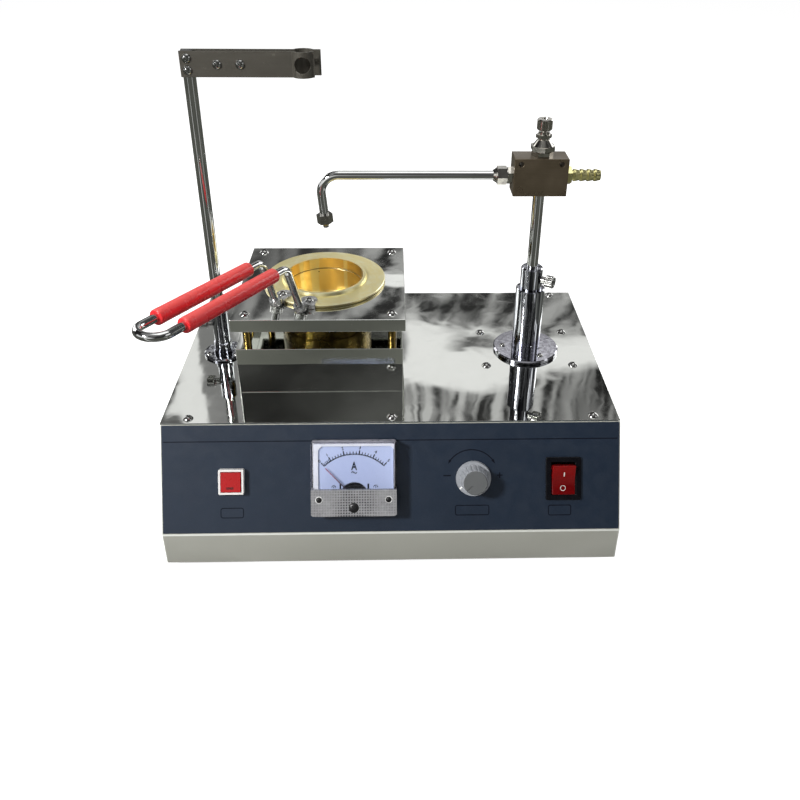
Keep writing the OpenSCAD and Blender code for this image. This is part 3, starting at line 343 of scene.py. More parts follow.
def cup_brass():
    """Lapped pale flange with two scribed lines, and a golden turned bore. Reflections are painted
    in the bore as pale upright streaks, highlights as bright lines on the rim and lip, and shade
    on the flange's outer edge.
    """
    f = Finish("cup_brass")
    _, _, z = f.axes()
    r, turn = f.radius(CUP_AXIS), f.angle(CUP_AXIS)
    bore = r.fade(0.0319, 0.0323, 1, 0)
    blotch = f.noise(90, 5, 0.6)
    smear = f.noise(1.0, 2, vector=f.join(turn * 5, r * 260, 0.3))
    pale = f.blend(f.noise(30, 2), srgb(255, 246, 192), srgb(244, 228, 160))
    pale = f.blend(smear.fade(0.45, 0.7) * 0.45, pale, srgb(255, 252, 222))
    gold = f.blend(blotch, srgb(255, 236, 176), srgb(244, 218, 150))
    # Painted reflections: pale upright streaks in the bore.
    streak = f.noise(1.0, 3, vector=f.join(turn * 3.2, z * 6, 0.8)).fade(0.49, 0.58)
    gold = f.blend(streak * 0.9, gold, srgb(255, 250, 215))
    base = f.blend(bore, pale, gold)
    line = (z - FILL_LINE).math("ABSOLUTE").fade(0.0003, 0.0006, 1, 0) * bore
    top = z.fade(FLANGE_TOP, 0.1826) * r.fade(0.0350, 0.0354) * r.fade(0.0489, 0.0493, 1, 0)
    scribed = 0.0
    for azimuth in (math.radians(33), math.radians(-22)):
        off = (turn - azimuth).math("ABSOLUTE") * r
        scribed = off.fade(0.0002, 0.0005, 1, 0) * top + scribed
    pit = length((turn - math.radians(104)) * BORE_R, z - 0.1728).fade(0.0004, 0.0007, 1, 0) * bore
    base = f.blend(line.math("MAXIMUM", pit) * 0.85, base, srgb(84, 58, 22))
    base = f.blend(scribed * 0.7, base, srgb(250, 242, 196))
    # Painted highlights: bright lines along the flange's outer rim and round the cup's lip.
    rim = (r - FLANGE_R).math("ABSOLUTE").fade(0.0002, 0.0005, 1, 0) * z.fade(0.1821, 0.1824)
    lip_highlight = (r - 0.0340).math("ABSOLUTE").fade(0.0003, 0.0006, 1, 0) * (z > 0.1845)
    base = f.blend(rim.math("MAXIMUM", lip_highlight) * 0.8, base, srgb(255, 250, 205))
    # Painted shade: the flange's upright outer edge is darkened.
    edge = (r > 0.04955) * z.fade(0.1820, FLANGE_TOP, 1, 0)
    base = f.blend(edge * 0.7, base, srgb(118, 96, 44))
    cut = (r * 16000).math("SINE") * (1 - bore) + (z * 15000).math("SINE") * bore
    bump = [(cut, 0.000008), (1 - line - scribed, 0.0001)]
    roughness = smear.fade(0.3, 0.7, 0.3, 0.36) * (1 - bore) + bore * 0.28
    return f.surface(base, bump, metallic=bore * 0.2 + 0.8, roughness=roughness)


def former_ceramic():
    f = Finish("former_ceramic")
    speck = f.noise(400, 4)
    base = f.blend(speck, srgb(232, 226, 210), srgb(206, 196, 176))
    return f.surface(base, [(speck, 0.0001)], roughness=speck.fade(0.3, 0.7, 0.7, 0.9))


def heater_wire():
    f = Finish("heater_wire")
    scale = f.noise(500, 4)
    base = f.blend(scale, srgb(88, 82, 78), srgb(128, 110, 98))
    roughness = scale.fade(0.3, 0.7, 0.4, 0.65)
    return f.surface(base, [(scale, 0.00004)], metallic=0.8, roughness=roughness)


def chrome(name, dark, light, low, high, draw):
    """Plated metal with faint streaks, stretched by draw."""
    f = Finish(name)
    streak = f.noise(1.0, 3, vector=f.scaled(draw))
    speck = f.noise(350, 3)
    base = f.blend(streak, dark, light)
    base = f.blend(speck.fade(0.66, 0.8) * 0.15, base, srgb(120, 120, 118))
    roughness = speck.fade(0.3, 0.7, low, high)
    return f.surface(base, [(streak, 0.000004)], metallic=1.0, roughness=roughness)


def clamp_chrome():
    """Plated pressings with rubbed spots; their base is paler than the rod chrome, a painted
    highlight for the light they catch.
    """
    f = Finish("clamp_chrome")
    spot = f.noise(260, 4, 0.6)
    base = f.blend(spot.fade(0.4, 0.62), srgb(236, 237, 236), srgb(150, 150, 148))
    roughness = spot.fade(0.3, 0.7, 0.16, 0.34)
    return f.surface(base, [(spot, 0.00006)], metallic=0.85, roughness=roughness)


def column_chrome():
    """Plated turned posts with upright streaks painted on as reflections, on clouded flanges whose
    side walls are painted dark as shade, crossed by thin painted highlights.
    """
    f = Finish("column_chrome")
    x, y, z = f.axes()
    side = x > 0
    x = x - side * (COLUMN[0] - POST[0]) * MM - POST[0] * MM
    y = y - side * (COLUMN[1] - POST[1]) * MM - POST[1] * MM
    turn, r = y.math("ARCTAN2", x), length(x, y)
    # Painted reflections: the light and dark upright streaks on the posts.
    streak = f.noise(1.0, 4, 0.6, vector=f.join(turn * 7, z * 14, side * 5))
    fine = f.noise(1.0, 3, 0.6, vector=f.join(turn * 40, z * 30, 2))
    spot = f.noise(300, 4, 0.6)
    painted_reflection_streaks = (streak * 0.7 + fine * 0.3).fade(0.44, 0.56)
    base = f.blend(painted_reflection_streaks, srgb(70, 71, 80), srgb(216, 218, 226))
    rings = f.noise(1.0, 3, 0.6, vector=f.join(turn * 2.5, r * 420, side * 3))
    pale = f.blend(side, srgb(226, 228, 234), srgb(200, 200, 208))
    deep = f.blend(side, srgb(92, 94, 100), srgb(178, 177, 186))
    face = f.blend(rings.fade(0.44, 0.58), pale, deep)
    # Painted shade: the flanges' side walls are dark, crossed by thin painted highlights.
    wall = f.blend((z * 5200).math("SINE").fade(0.55, 0.9), srgb(48, 48, 54), srgb(200, 202, 208))
    flange = f.blend(f.normal_up().fade(0.3, 0.7, 1, 0), face, wall)
    # The flanges start outside the column's shaft (side 1) and outside the post's (side 0)
    outside = r.fade(0.0125, 0.0132) * side + r.fade(0.0072, 0.0078) * (1 - side)
    base = f.blend(outside, base, flange)
    base = f.blend(spot.fade(0.64, 0.78) * 0.2, base, srgb(124, 128, 138))
    roughness = spot.fade(0.35, 0.7, 0.05, 0.16)
    return f.surface(base, [(streak, 0.00003)], metallic=1.0, roughness=roughness)


def sleeve_red():
    """Soft vinyl: a slightly mottled red with a dull shine, painted dark underneath as shade and
    salmon on top as a highlight.
    """
    f = Finish("sleeve_red")
    cloud = f.noise(60, 4)
    dust = f.noise(900, 3)
    base = f.blend(cloud, srgb(226, 40, 46), srgb(238, 54, 58))
    base = f.blend(dust.fade(0.62, 0.8) * 0.3, base, srgb(240, 120, 112))
    upward = f.normal_up()
    # Painted shade underneath and a painted salmon highlight on top, by which way the surface
    # faces.
    base = f.blend(upward.fade(-0.5, 0.35, 0.75, 0), base, srgb(140, 12, 26))
    base = f.blend(upward.fade(0.55, 0.92) * 0.5, base, srgb(255, 122, 116))
    bump = [(f.noise(130, 2), 0.00001)]
    roughness = cloud.fade(0.3, 0.7, 0.22, 0.32)
    return f.surface(base, bump, roughness=roughness, subsurface_weight=0.05)


def plain_metal(name, dark, light, low, high, metallic=1.0):
    """Machined or painted metal with a fine grain and clouded wear."""
    f = Finish(name)
    cloud, grain = f.noise(50, 4), f.noise(1200, 2)
    base = f.blend(cloud, dark, light)
    base = f.blend(grain.fade(0.6, 0.75) * 0.2, base, srgb(190, 188, 182))
    roughness = cloud.fade(0.3, 0.7, low, high)
    return f.surface(base, [(grain, 0.00001)], metallic=metallic, roughness=roughness)


def block_bronze():
    """Brown-grey block, brushed lengthwise."""
    f = Finish("block_bronze")
    brush = f.noise(1.0, 3, vector=f.scaled((60, 1600, 1600)))
    cloud = f.noise(70, 4)
    base = f.blend(cloud, srgb(98, 87, 70), srgb(118, 106, 88))
    base = f.blend(brush.fade(0.4, 0.8) * 0.08, base, srgb(150, 138, 120))
    roughness = cloud.fade(0.3, 0.7, 0.26, 0.4)
    return f.surface(base, [(brush, 0.000004)], metallic=0.75, roughness=roughness)


def arm_grey():
    """Olive-grey strips with a satin skin and a few rubbed spots."""
    f = Finish("arm_grey")
    cloud = f.noise(45, 4)
    brush = f.noise(1.0, 3, vector=f.scaled((25, 1300, 1300)))
    rub = f.noise(180, 4, 0.65)
    base = f.blend(cloud, srgb(74, 71, 64), srgb(87, 84, 76))
    base = f.blend(rub.fade(0.66, 0.78) * 0.4, base, srgb(132, 128, 116))
    roughness = brush.fade(0.3, 0.7, 0.34, 0.5)
    return f.surface(base, [(brush, 0.00001)], metallic=0.35, roughness=roughness)


def plastic(name, dark, light, low, high, depth=0.00002, **more):
    """Moulded plastic with a fine texture and soft cloudiness."""
    f = Finish(name)
    cloud, skin = f.noise(80, 3), f.noise(700, 2)
    base = f.blend(cloud, dark, light)
    return f.surface(base, [(skin, depth)], roughness=cloud.fade(0.3, 0.7, low, high), **more)


def dial_white():
    """Bluish white printed plate, a touch darker towards its edges."""
    f = Finish("dial_white")
    up, across, _ = f.on_slope(METER)
    base = f.blend(length(up, across).fade(0.008, 0.034), srgb(178, 189, 216), srgb(192, 202, 224))
    base = f.blend(f.noise(300, 3) * 0.25, base, srgb(214, 219, 240))
    roughness = f.noise(60).fade(0.3, 0.7, 0.4, 0.5)
    return f.surface(base, [(f.noise(800, 2), 0.00001)], roughness=roughness)


def needle_red():
    """Red needle that turns dark towards its pivot."""
    f = Finish("needle_red")
    up = f.on_slope(METER)[0]
    base = f.blend(up.fade(-0.006, 0.004), srgb(60, 50, 60), srgb(150, 84, 104))
    roughness = f.noise(200).fade(0.3, 0.7, 0.4, 0.5)
    return f.surface(base, [(f.noise(900), 0.00001)], roughness=roughness)


def meter_clear():
    """Clear polystyrene: light goes through its front, and its moulded walls look pale.

    Only the right wall casts a shadow, and no mirror shows the walls' paleness.
    """
    f = Finish("meter_clear")
    scuff = f.noise(160, 4)
    glass = f.node(
        "BsdfPrincipled",
        {
            "Base Color": srgb(246, 248, 252),
            "Roughness": scuff.fade(0.4, 0.8, 0.0, 0.02),
            "Transmission Weight": 1.0,
            "IOR": 1.3,
        },
    )
    clear = f.node("BsdfTransparent", {0: srgb(250, 251, 255)})
    shadow, mirrored = f.ray("Shadow"), f.ray("Glossy")
    pass_by = shadow.math("MAXIMUM", f.ray("Diffuse")).math("MAXIMUM", 0.75)
    front = f.node("MixShader", {0: pass_by, 1: glass, 2: clear})
    facing = f.dot(f.node("NewGeometry", out="Normal"), OUT)
    haze = f.noise(220, 3).fade(0.3, 0.7, 0.5, 0.85)
    wall = facing.math("ABSOLUTE").fade(0.3, 0.8, 1, 0)
    right_side = f.axes()[0] > (METER[0] + 28) * MM
    wall = wall * ((1 - shadow.math("MAXIMUM", mirrored)) * haze + shadow * right_side * 0.95)
    moulded = {"Base Color": srgb(206, 205, 218), "Roughness": scuff.fade(0, 1, 0.1, 0.3)}
    pale = f.node("BsdfPrincipled", moulded)
    f.node("OutputMaterial", {0: f.node("MixShader", {0: wall, 1: front, 2: pale})})
    return f.material


def meter_grey():
    """Grey band under a clear skin, with rows of fine raised dots."""
    f = Finish("meter_grey")
    up, across, _ = f.on_slope(METER)
    waves = 2 * math.pi / DOT_PITCH
    dots = (up * waves).math("SINE") + (across * waves).math("SINE")
    worn = f.noise(1.0, 2, vector=f.join(across * 60, up * 90, 0)).fade(0.35, 0.7)
    strength = (across - 0.001).math("ABSOLUTE").fade(0.007, 0.02, 1, 0.3)
    grey = f.blend(f.noise(500, 3), srgb(116, 116, 118), srgb(160, 160, 162))
    base = f.blend(dots.fade(0.3, 1.0) * strength, grey, srgb(18, 16, 22))
    # Painted highlight: a pale ring round each screw.
    from_screw = length(across.math("ABSOLUTE") - 0.0261, up + 0.0154)
    ring = (from_screw - 0.0022).math("ABSOLUTE").fade(0.0003, 0.0006, 1, 0)
    base = f.blend(ring * 0.9, base, srgb(244, 244, 242))
    base = f.blend(worn * 0.3, base, srgb(172, 173, 174))
    roughness = worn.fade(0, 1, 0.3, 0.44)
    return f.surface(base, [(dots, 0.00004)], roughness=roughness, coat_weight=0.2)


def rocker_red():
    """Deep translucent red with a polished skin."""
    f = Finish("rocker_red")
    cloud = f.noise(120, 3)
    down = f.along(-UP, (PANEL_TOP - UP * SWITCH[1]) * MM)
    base = f.blend(down.fade(-0.010, 0.008), srgb(126, 3, 5), srgb(96, 1, 4))
    base = f.blend(cloud * 0.2, base, srgb(150, 10, 10))
    more = {"subsurface_weight": 0.1, "coat_weight": 0.15}
    roughness = cloud.fade(0.3, 0.7, 0.1, 0.2)
    return f.surface(base, [(f.noise(500), 0.00001)], roughness=roughness, **more)


def cap_red():
    """Glossy red cap with a small dark window near its lower edge."""
    f = Finish("cap_red")
    up, across, _ = f.on_slope(BUTTON)
    base = f.blend(f.noise(80, 3), srgb(166, 6, 12), srgb(178, 14, 18))
    pane = across.near(-0.0005, 0.0027) * up.near(-0.0044, 0.0009)
    base = f.blend(pane * 0.9, base, srgb(78, 6, 10))
    roughness = f.noise(90).fade(0.3, 0.7, 0.2, 0.36)
    return f.surface(base, [(f.noise(700, 2), 0.00002)], roughness=roughness)


def knob_grey():
    """Satin grey cap with a spun top."""
    f = Finish("knob_grey")
    up, across, out = f.on_slope(KNOB)
    r = length(up, across)
    top = (out > 0.0166) * (r < 0.0092)
    spun = f.noise(1.0, 2, vector=f.join(r * 9000, 0, 0))
    side = f.blend(f.noise(200, 3), srgb(148, 151, 156), srgb(170, 173, 178))
    base = f.blend(top, side, f.blend(spun, srgb(92, 94, 95), srgb(104, 106, 106)))
    # The pointer's direction in rest, by its cosine and sine
    reach, aside = up * -0.56 - across * 0.83, up * 0.83 - across * 0.56
    pointer = reach.near(0.0114, 0.0021) * aside.near(0, 0.0006) * (out < 0.0160)
    base = f.blend(pointer, base, srgb(250, 250, 248))
    bump = [(spun * top, 0.00001), (f.noise(1500, 2), 0.00002)]
    return f.surface(base, bump, roughness=f.noise(90).fade(0.3, 0.7, 0.36, 0.5))


def board_green():
    """Circuit board with copper tracks under its lacquer, and grey parts standing on it."""
    f = Finish("board_green")
    z = f.axes()[2]
    cells = f.node("TexVoronoi", {"Vector": f.place(), "Scale": 260.0}, feature="DISTANCE_TO_EDGE")
    track = cells.fade(0.04, 0.06, 1, 0)
    board = f.blend(track, srgb(28, 96, 58), srgb(56, 130, 82))
    base = f.blend(z > 0.0195, board, srgb(70, 74, 78))
    return f.surface(base, [(track, 0.00003)], roughness=f.noise(90).fade(0.3, 0.7, 0.3, 0.45))


def print_ink(name, colour, paler):
    """Thin screen-printed ink, a little uneven."""
    f = Finish(name)
    base = f.blend(f.noise(500, 3).fade(0.5, 0.8) * 0.5, colour, paler)
    rough = f.noise(300).fade(0.3, 0.7, 0.45, 0.6)
    return f.surface(base, [(f.noise(1800), 0.00001)], roughness=rough, specular_ior_level=0.15)


def greys(dark, light):
    """A dark and a light neutral grey."""
    return srgb(dark, dark, dark), srgb(light, light, light)


ROD_TONES = srgb(184, 185, 184), srgb(206, 207, 206)
FITTING_TONES = srgb(146, 143, 136), srgb(206, 203, 195)
MOTOR_TONES = srgb(120, 120, 116), srgb(140, 140, 134)
SWITCH_TONES = srgb(9, 9, 13), srgb(16, 16, 20)
INLET_TONES = srgb(24, 24, 25), srgb(38, 38, 39)
FINISHES = {
    "beige_paint": beige_paint(),
    "zinc_plate": zinc_plate(),
    "screw_steel": screw_steel(),
    "foot_rubber": foot_rubber(),
    "panel_film": panel_film(),
    "mirror_steel": mirror_steel(),
    "brass": brass(),
    "cup_brass": cup_brass(),
    "former_ceramic": former_ceramic(),
    "heater_wire": heater_wire(),
    "chrome_rod": chrome("chrome_rod", *ROD_TONES, 0.03, 0.09, (40, 40, 40)),
    "sleeve_red": sleeve_red(),
    "column_chrome": column_chrome(),
    "steel": plain_metal("steel", *greys(150, 186), 0.25, 0.4),
    "motor_case": plain_metal("motor_case", *MOTOR_TONES, 0.35, 0.5, 0.3),
    "block_bronze": block_bronze(),
    "fitting_dark": chrome("fitting_dark", *FITTING_TONES, 0.08, 0.2, (220, 220, 220)),
    "arm_grey": arm_grey(),
    "meter_black": plastic("meter_black", srgb(14, 14, 16), srgb(24, 24, 26), 0.3, 0.45),
    "dial_white": dial_white(),
    "needle_red": needle_red(),
    "meter_clear": meter_clear(),
    "meter_grey": meter_grey(),
    "frame_white": plastic("frame_white", srgb(226, 224, 220), srgb(240, 239, 236), 0.2, 0.34),
    "cap_red": cap_red(),
    "pot_case": plastic("pot_case", srgb(96, 104, 100), srgb(112, 120, 114), 0.4, 0.55),
    "knob_grey": knob_grey(),
    "switch_black": plastic("switch_black", *SWITCH_TONES, 0.18, 0.32, specular_ior_level=0.25),
    "rocker_red": rocker_red(),
    "board_green": board_green(),
    "inlet_black": plastic("inlet_black", *INLET_TONES, 0.4, 0.55, depth=0.00005),
}
NAVY_INK = print_ink("navy_ink", srgb(6, 8, 20), srgb(16, 20, 34))
DIAL_INK = print_ink("dial_ink", srgb(8, 12, 22), srgb(24, 30, 40))
WHITE_INK = print_ink("white_ink", srgb(236, 234, 228), srgb(214, 210, 204))

for name, node in frame["nodes"].items():
    node.data.materials.clear()
    node.data.materials.append(FINISHES[SLOTS[name]])
frame["nodes"]["handle_clamps"].data.materials[0] = clamp_chrome()


# --------------------------------------------------------------- making pieces


def add_object(name, data):
    made = bpy.data.objects.new(name, data)
    bpy.context.scene.collection.objects.link(made)
    return made


def add_piece(name, points, faces, body, material, smooth=False):
    """A mesh object at the origin that rides on a body; points are millimetres."""
    mesh = bpy.data.meshes.new(name)
    points = (np.asarray(points, float) * MM).tolist()
    mesh.from_pydata(points, [], np.asarray(faces).tolist())
    return finish_piece(name, mesh, body, material, smooth)


def finish_piece(name, mesh, body, material, smooth=False):
    """An object of a mesh in metres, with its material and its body."""
    mesh.materials.clear()
    mesh.materials.append(material)
    mesh.polygons.foreach_set("use_smooth", np.full(len(mesh.polygons), smooth))
    mesh.update()
    piece = add_object(name, mesh)
    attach(piece, body)
    return piece


def grid_faces(rows, columns, closed=False):
    """Quads of a rows by columns grid of points; closed joins the last column to the first."""
    wide = columns if closed else columns - 1
    i, j = np.meshgrid(np.arange(rows - 1), np.arange(wide), indexing="ij")
    start, beside = i * columns, (j + 1) % columns
    quads = [start + j, start + beside, start + columns + beside, start + columns + j]
    return np.stack(quads, -1).reshape(-1, 4)


def on_panel(x, s, n):
    """Points on the sloped panel: x across, s down the slope from its top, n outwards."""
    x, s, n = np.broadcast_arrays(np.asarray(x, float), s, n)
    across = np.stack([x, 0 * x, 0 * x], -1)
    return PANEL_TOP + across - s[..., None] * UP + n[..., None] * OUT


def ribbon(x, y, width, closed=False):
    """A flat band along a plane curve, half a width to either side of it."""
    x, y = np.asarray(x, float), np.asarray(y, float)
    if closed:
        dx, dy = np.roll(x, -1) - np.roll(x, 1), np.roll(y, -1) - np.roll(y, 1)
    else:
        dx, dy = np.gradient(x), np.gradient(y)
    size = np.hypot(dx, dy)
    nx, ny = -dy / size * width / 2, dx / size * width / 2
    edge = np.stack([np.stack([x + nx, x - nx], -1), np.stack([y + ny, y - ny], -1)], -1)
    count = len(x)
    faces = grid_faces(count + 1 if closed else count, 2) % (2 * count)
    return edge.reshape(-1, 2), faces[:, ::-1]


def around(count, first=0.0):
    """Angles of a full turn in equal steps."""
    return np.linspace(0, 2 * np.pi, count, endpoint=False) + first


def disc(x, y, r, count=24):
    """A filled circle: one ring of points about a middle one."""
    t = around(count)
    points = np.concatenate([[[x, y]], np.stack([x + r * np.cos(t), y + r * np.sin(t)], -1)])
    ring = 1 + np.arange(count)
    return points, np.stack([0 * ring, ring, 1 + ring % count], -1)


def printed(name, marks, place, body, material):
    """Plane marks, each (points, faces), laid on a surface by place(x, y) as thick as ink."""
    points, faces, start = [], [], 0
    for mark, quads in marks:
        points.append(mark)
        faces += (np.asarray(quads) + start).tolist()
        start += len(mark)
    flat = np.concatenate(points)
    mesh = bpy.data.meshes.new(name)
    mesh.from_pydata((place(flat[:, 0], flat[:, 1]) * MM).tolist(), [], faces)
    piece = finish_piece(name, mesh, body, material)
    thick = piece.modifiers.new("ink", "SOLIDIFY")
    thick.thickness, thick.offset = PRINT * MM, 1


def lettered(name, text, size, place, turn, body, material):
    """One dial figure: a text made a mesh, then laid on the surface by place(x, y, n)."""
    curve = bpy.data.curves.new(name, "FONT")
    curve.body, curve.size, curve.align_x, curve.align_y = text, size, "CENTER", "CENTER"
    curve.extrude, curve.resolution_u, curve.offset = PRINT / 2, 3, size * 0.022
    holder = add_object(name + "_text", curve)
    bpy.context.view_layer.update()
    evaluated = holder.evaluated_get(bpy.context.evaluated_depsgraph_get())
    mesh = bpy.data.meshes.new_from_object(evaluated)
    bpy.data.objects.remove(holder)
    mesh.transform(Matrix.Rotation(turn, 4, "Z"))
    flat = np.zeros(len(mesh.vertices) * 3, np.float32)
    mesh.vertices.foreach_get("co", flat)
    x, y, n = flat.reshape(-1, 3).astype(float).T
    laid = place(x, y, n + PRINT / 2) * MM
    mesh.vertices.foreach_set("co", laid.astype(np.float32).ravel())
    finish_piece(name, mesh, body, material)


def softened(node, width):
    """The CAD node's own mesh with its corners rounded, in place of the node."""
    mesh = frame["nodes"][node].data.copy()
    shape = bmesh.new()
    shape.from_mesh(mesh)
    bmesh.ops.remove_doubles(shape, verts=shape.verts, dist=1e-6)
    flat = math.radians(1)
    bmesh.ops.dissolve_limit(shape, angle_limit=flat, verts=shape.verts, edges=shape.edges)
    shape.to_mesh(mesh)
    shape.free()
    slot = SLOTS[node]
    piece = finish_piece(node + "_body", mesh, BODY_OF[node], FINISHES[slot], True)
    bevel = piece.modifiers.new("corners", "BEVEL")
    bevel.width, bevel.segments, bevel.limit_method = width * MM, 3, "ANGLE"
    bevel.angle_limit, bevel.use_clamp_overlap = math.radians(35), False
    normals = piece.modifiers.new("shading", "WEIGHTED_NORMAL")
    normals.keep_sharp = True
    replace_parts(piece, node)


# ------------------------------------------------------------ rounded corners

# How wide each node's corners are rounded, in millimetres
CORNERS = {
    "housing_shell": 0.7,
    "top_plate": 0.25,
    "furnace_box": 0.5,
    "furnace_cover": 0.5,
    "gas_block": 0.5,
    "front_leaf": 0.25,
    "rear_leaf": 0.25,
    "button_frame": 0.3,
    "button_cap": 0.5,
    "switch_frame": 0.4,
    "power_rocker": 0.6,
    "front_panel": 0.1,
}
for node, width in CORNERS.items():
    softened(node, width)


# --------------------------------------------------------------- panel prints


def film_place(x, y):
    return on_panel(x, -y, FILM + LIFT)


def rounded_frame(x, s, w, h, r, width):
    """The outline of a round-cornered box: straight runs between quarter circles."""
    t = around(48, np.pi / 48)
    cx = x + np.sign(np.cos(t)) * (w / 2 - r) + r * np.cos(t)
    cy = -s + np.sign(np.sin(t)) * (h / 2 - r) + r * np.sin(t)
    return ribbon(cx, cy, width, closed=True)


# The arc over the knob, with an arrow head at each end
ARC_X, ARC_Y, ARC_R = KNOB[0] - 1.5, 1.7 - KNOB[1], 20.3
turn = np.radians(np.linspace(-55, 55, 40))
arc_x, arc_y = ARC_X + ARC_R * np.sin(turn), ARC_Y + ARC_R * np.cos(turn)
TIP_AT, TIP_LEAN = math.radians(62), math.radians(58)
HEAD_LENGTH, HALF_HEAD = 3.4, 1.1
# The long line, three empty label boxes, the minus and the plus, and the arc
marks = [
    ribbon([-172.5, 172.5], [-14, -14], 0.7),
    rounded_frame(-121.4, 68.6, 17, 7.4, 1.6, 0.65),
    rounded_frame(61, 68.4, 25.6, 7.4, 1.4, 0.65),
    rounded_frame(128.2, 69.1, 17.2, 7.6, 1.4, 0.65),
    ribbon([39, 44.8], [-41.6, -41.6], 0.9),
    ribbon([79.9, 84.3], [-41.6, -41.6], 0.8),
    ribbon([82.1, 82.1], [-43.8, -39.4], 0.8),
    ribbon(arc_x, arc_y, 0.8),
]
for side in (-1, 1):
    tip = np.array([ARC_X + side * ARC_R * math.sin(TIP_AT), ARC_Y + ARC_R * math.cos(TIP_AT)])
    along = np.array([side * math.cos(TIP_LEAN), -math.sin(TIP_LEAN)])
    across = np.array([-along[1], along[0]]) * HALF_HEAD
    back = tip - HEAD_LENGTH * along
    marks.append((np.array([tip, back + across, back - across]), [[0, 1, 2]]))
printed("panel_marks", marks, film_place, "base", NAVY_INK)


# --------------------------------------------------------------------- meter

DIAL_TOP = 5.0
PIVOT_Y = -15.0
SCALE_R = 32.4
# Directions of the figures 0 to 5; an alternating-current meter's first division is narrow
MAJORS = (-43.7, -32.5, -13.2, 7.0, 26.0, 43.7)
LONG_TICK, SHORT_TICK = (3.3, 0.9), (2.0, 0.6)
FIGURE_SIZE, FIGURE_GAP = 3.3, 5.2
UNIT_SIZE, UNIT_SQUEEZE, UNIT_Y = 8.6, 0.72, 8.0


def dial_place(x, y, n=0.0):
    return on_panel(METER[0] + x, METER[1] - y, DIAL_TOP + LIFT + n)


def dial_arc(low, high, r, count=60):
    t = np.radians(np.linspace(low, high, count))
    return r * np.sin(t), PIVOT_Y + r * np.cos(t)


marks = [ribbon(*dial_arc(MAJORS[0], MAJORS[-1], SCALE_R), 0.85)]
for i in range(26):
    a = math.radians(float(np.interp(i / 5, range(6), MAJORS)))
    tall, wide = SHORT_TICK if i % 5 else LONG_TICK
    r = np.array([SCALE_R, SCALE_R + tall])
    marks.append(ribbon(r * math.sin(a), PIVOT_Y + r * math.cos(a), wide))
# Small marks beside the pivot, and the wavy line under the unit
for x in (-10.4, 10.6):
    marks.append(ribbon([x, x], [-9.2, -5.2], 1.3))
for x in (-15.4, 16.2):
    t = np.radians(np.linspace(0, 180, 16))
    marks.append(ribbon(x + 1.5 * np.cos(t), -8.0 + 1.5 * np.sin(t), 0.55))
    marks.append(disc(x, -7.8, 0.5))
wave = np.linspace(-2.2, 2.2, 24)
marks.append(ribbon(wave, 3.4 - 0.5 * np.sin(wave * math.pi / 2.2), 0.75))
printed("dial_marks", marks, dial_place, "base", DIAL_INK)
for i, a in enumerate(MAJORS):
    x, y = (float(v[0]) for v in dial_arc(a, a, SCALE_R + FIGURE_GAP, 1))

    def figure_place(px, py, n, x=x, y=y):
        return dial_place(px + x, py + y, n)

    name, lean = f"dial_figure_{i}", -math.radians(a)
    lettered(name, str(i), FIGURE_SIZE, figure_place, lean, "base", DIAL_INK)


def unit_place(px, py, n):
    return dial_place(px * UNIT_SQUEEZE, py + UNIT_Y, n)


lettered("dial_unit", "A", UNIT_SIZE, unit_place, 0, "base", DIAL_INK)

# The window's moulded ledge: from its outer outline over a flat rim down to the dial
LEDGE_TOP, LEDGE_FOOT = 6.2 - DIAL_TOP, 0.06
outer_x = 30.9 * np.array([-1, -1, -1, 1, 1, 1])
outer_y = np.array([-14, 26.2, 26.2, 26.2, 26.2, -14])
inner_x = np.array([-27.0, -27.0, -24.2, 27.6, 30.1, 30.1])
inner_y = np.array([-14, 20.8, 23.6, 23.6, 21.2, -14])
inner = inner_x, inner_y
rings = [(outer_x, outer_y, LEDGE_TOP), (*inner, LEDGE_TOP), (*inner, LEDGE_FOOT)]
points = np.concatenate([dial_place(*ring) for ring in rings])
faces = grid_faces(len(rings), len(outer_x))[:, ::-1]
add_piece("window_ledge", points, faces, "base", FINISHES["frame_white"])


# -------------------------------------------------------------------- rocker

# The rocker's tilt in rest, and its middle crease's height over the film
ROCKER_TILT, ROCKER_FLAT = math.radians(10), 2.5


def rocker_place(x, y):
    """Marks on the rocker: up its facets, then tilted with it about its pin."""
    n = ROCKER_FLAT + np.abs(y) * math.tan(ROCKER_TILT) + 2 * LIFT
    up = y * math.cos(ROCKER_TILT) - n * math.sin(ROCKER_TILT)
    out = y * math.sin(ROCKER_TILT) + n * math.cos(ROCKER_TILT)
    return on_panel(SWITCH[0] + x, SWITCH[1] - up, FILM + out)


t = around(32)
stroke = ribbon([0.2, 0.2], [2.6, 6.2], 0.75)
circle = ribbon(1.9 * np.cos(t) - 0.5, -6.6 + 1.9 * np.sin(t), 0.34, closed=True)
marks = [stroke, circle]
printed("rocker_marks", marks, rocker_place, "power_switch", WHITE_INK)


# ------------------------------------------------------------------- grips

# The handle's direction from the cup's axis and its rise, its elbows, and the sleeves' size
HANDLE_TURN, HANDLE_SLOPE = math.radians(-117.5), math.radians(4.6)
HANDLE_SPAN, ELBOW_R, ELBOW_Z = 22.3, 68.8, 222.8
SLEEVE_START, SLEEVE_LEN, SLEEVE_R, ROD_R = 15.4, 97.0, 5.5, 3.0
SWELL, SWELL_AT, SWELL_REACH = 0.10, 3.5, 1.6


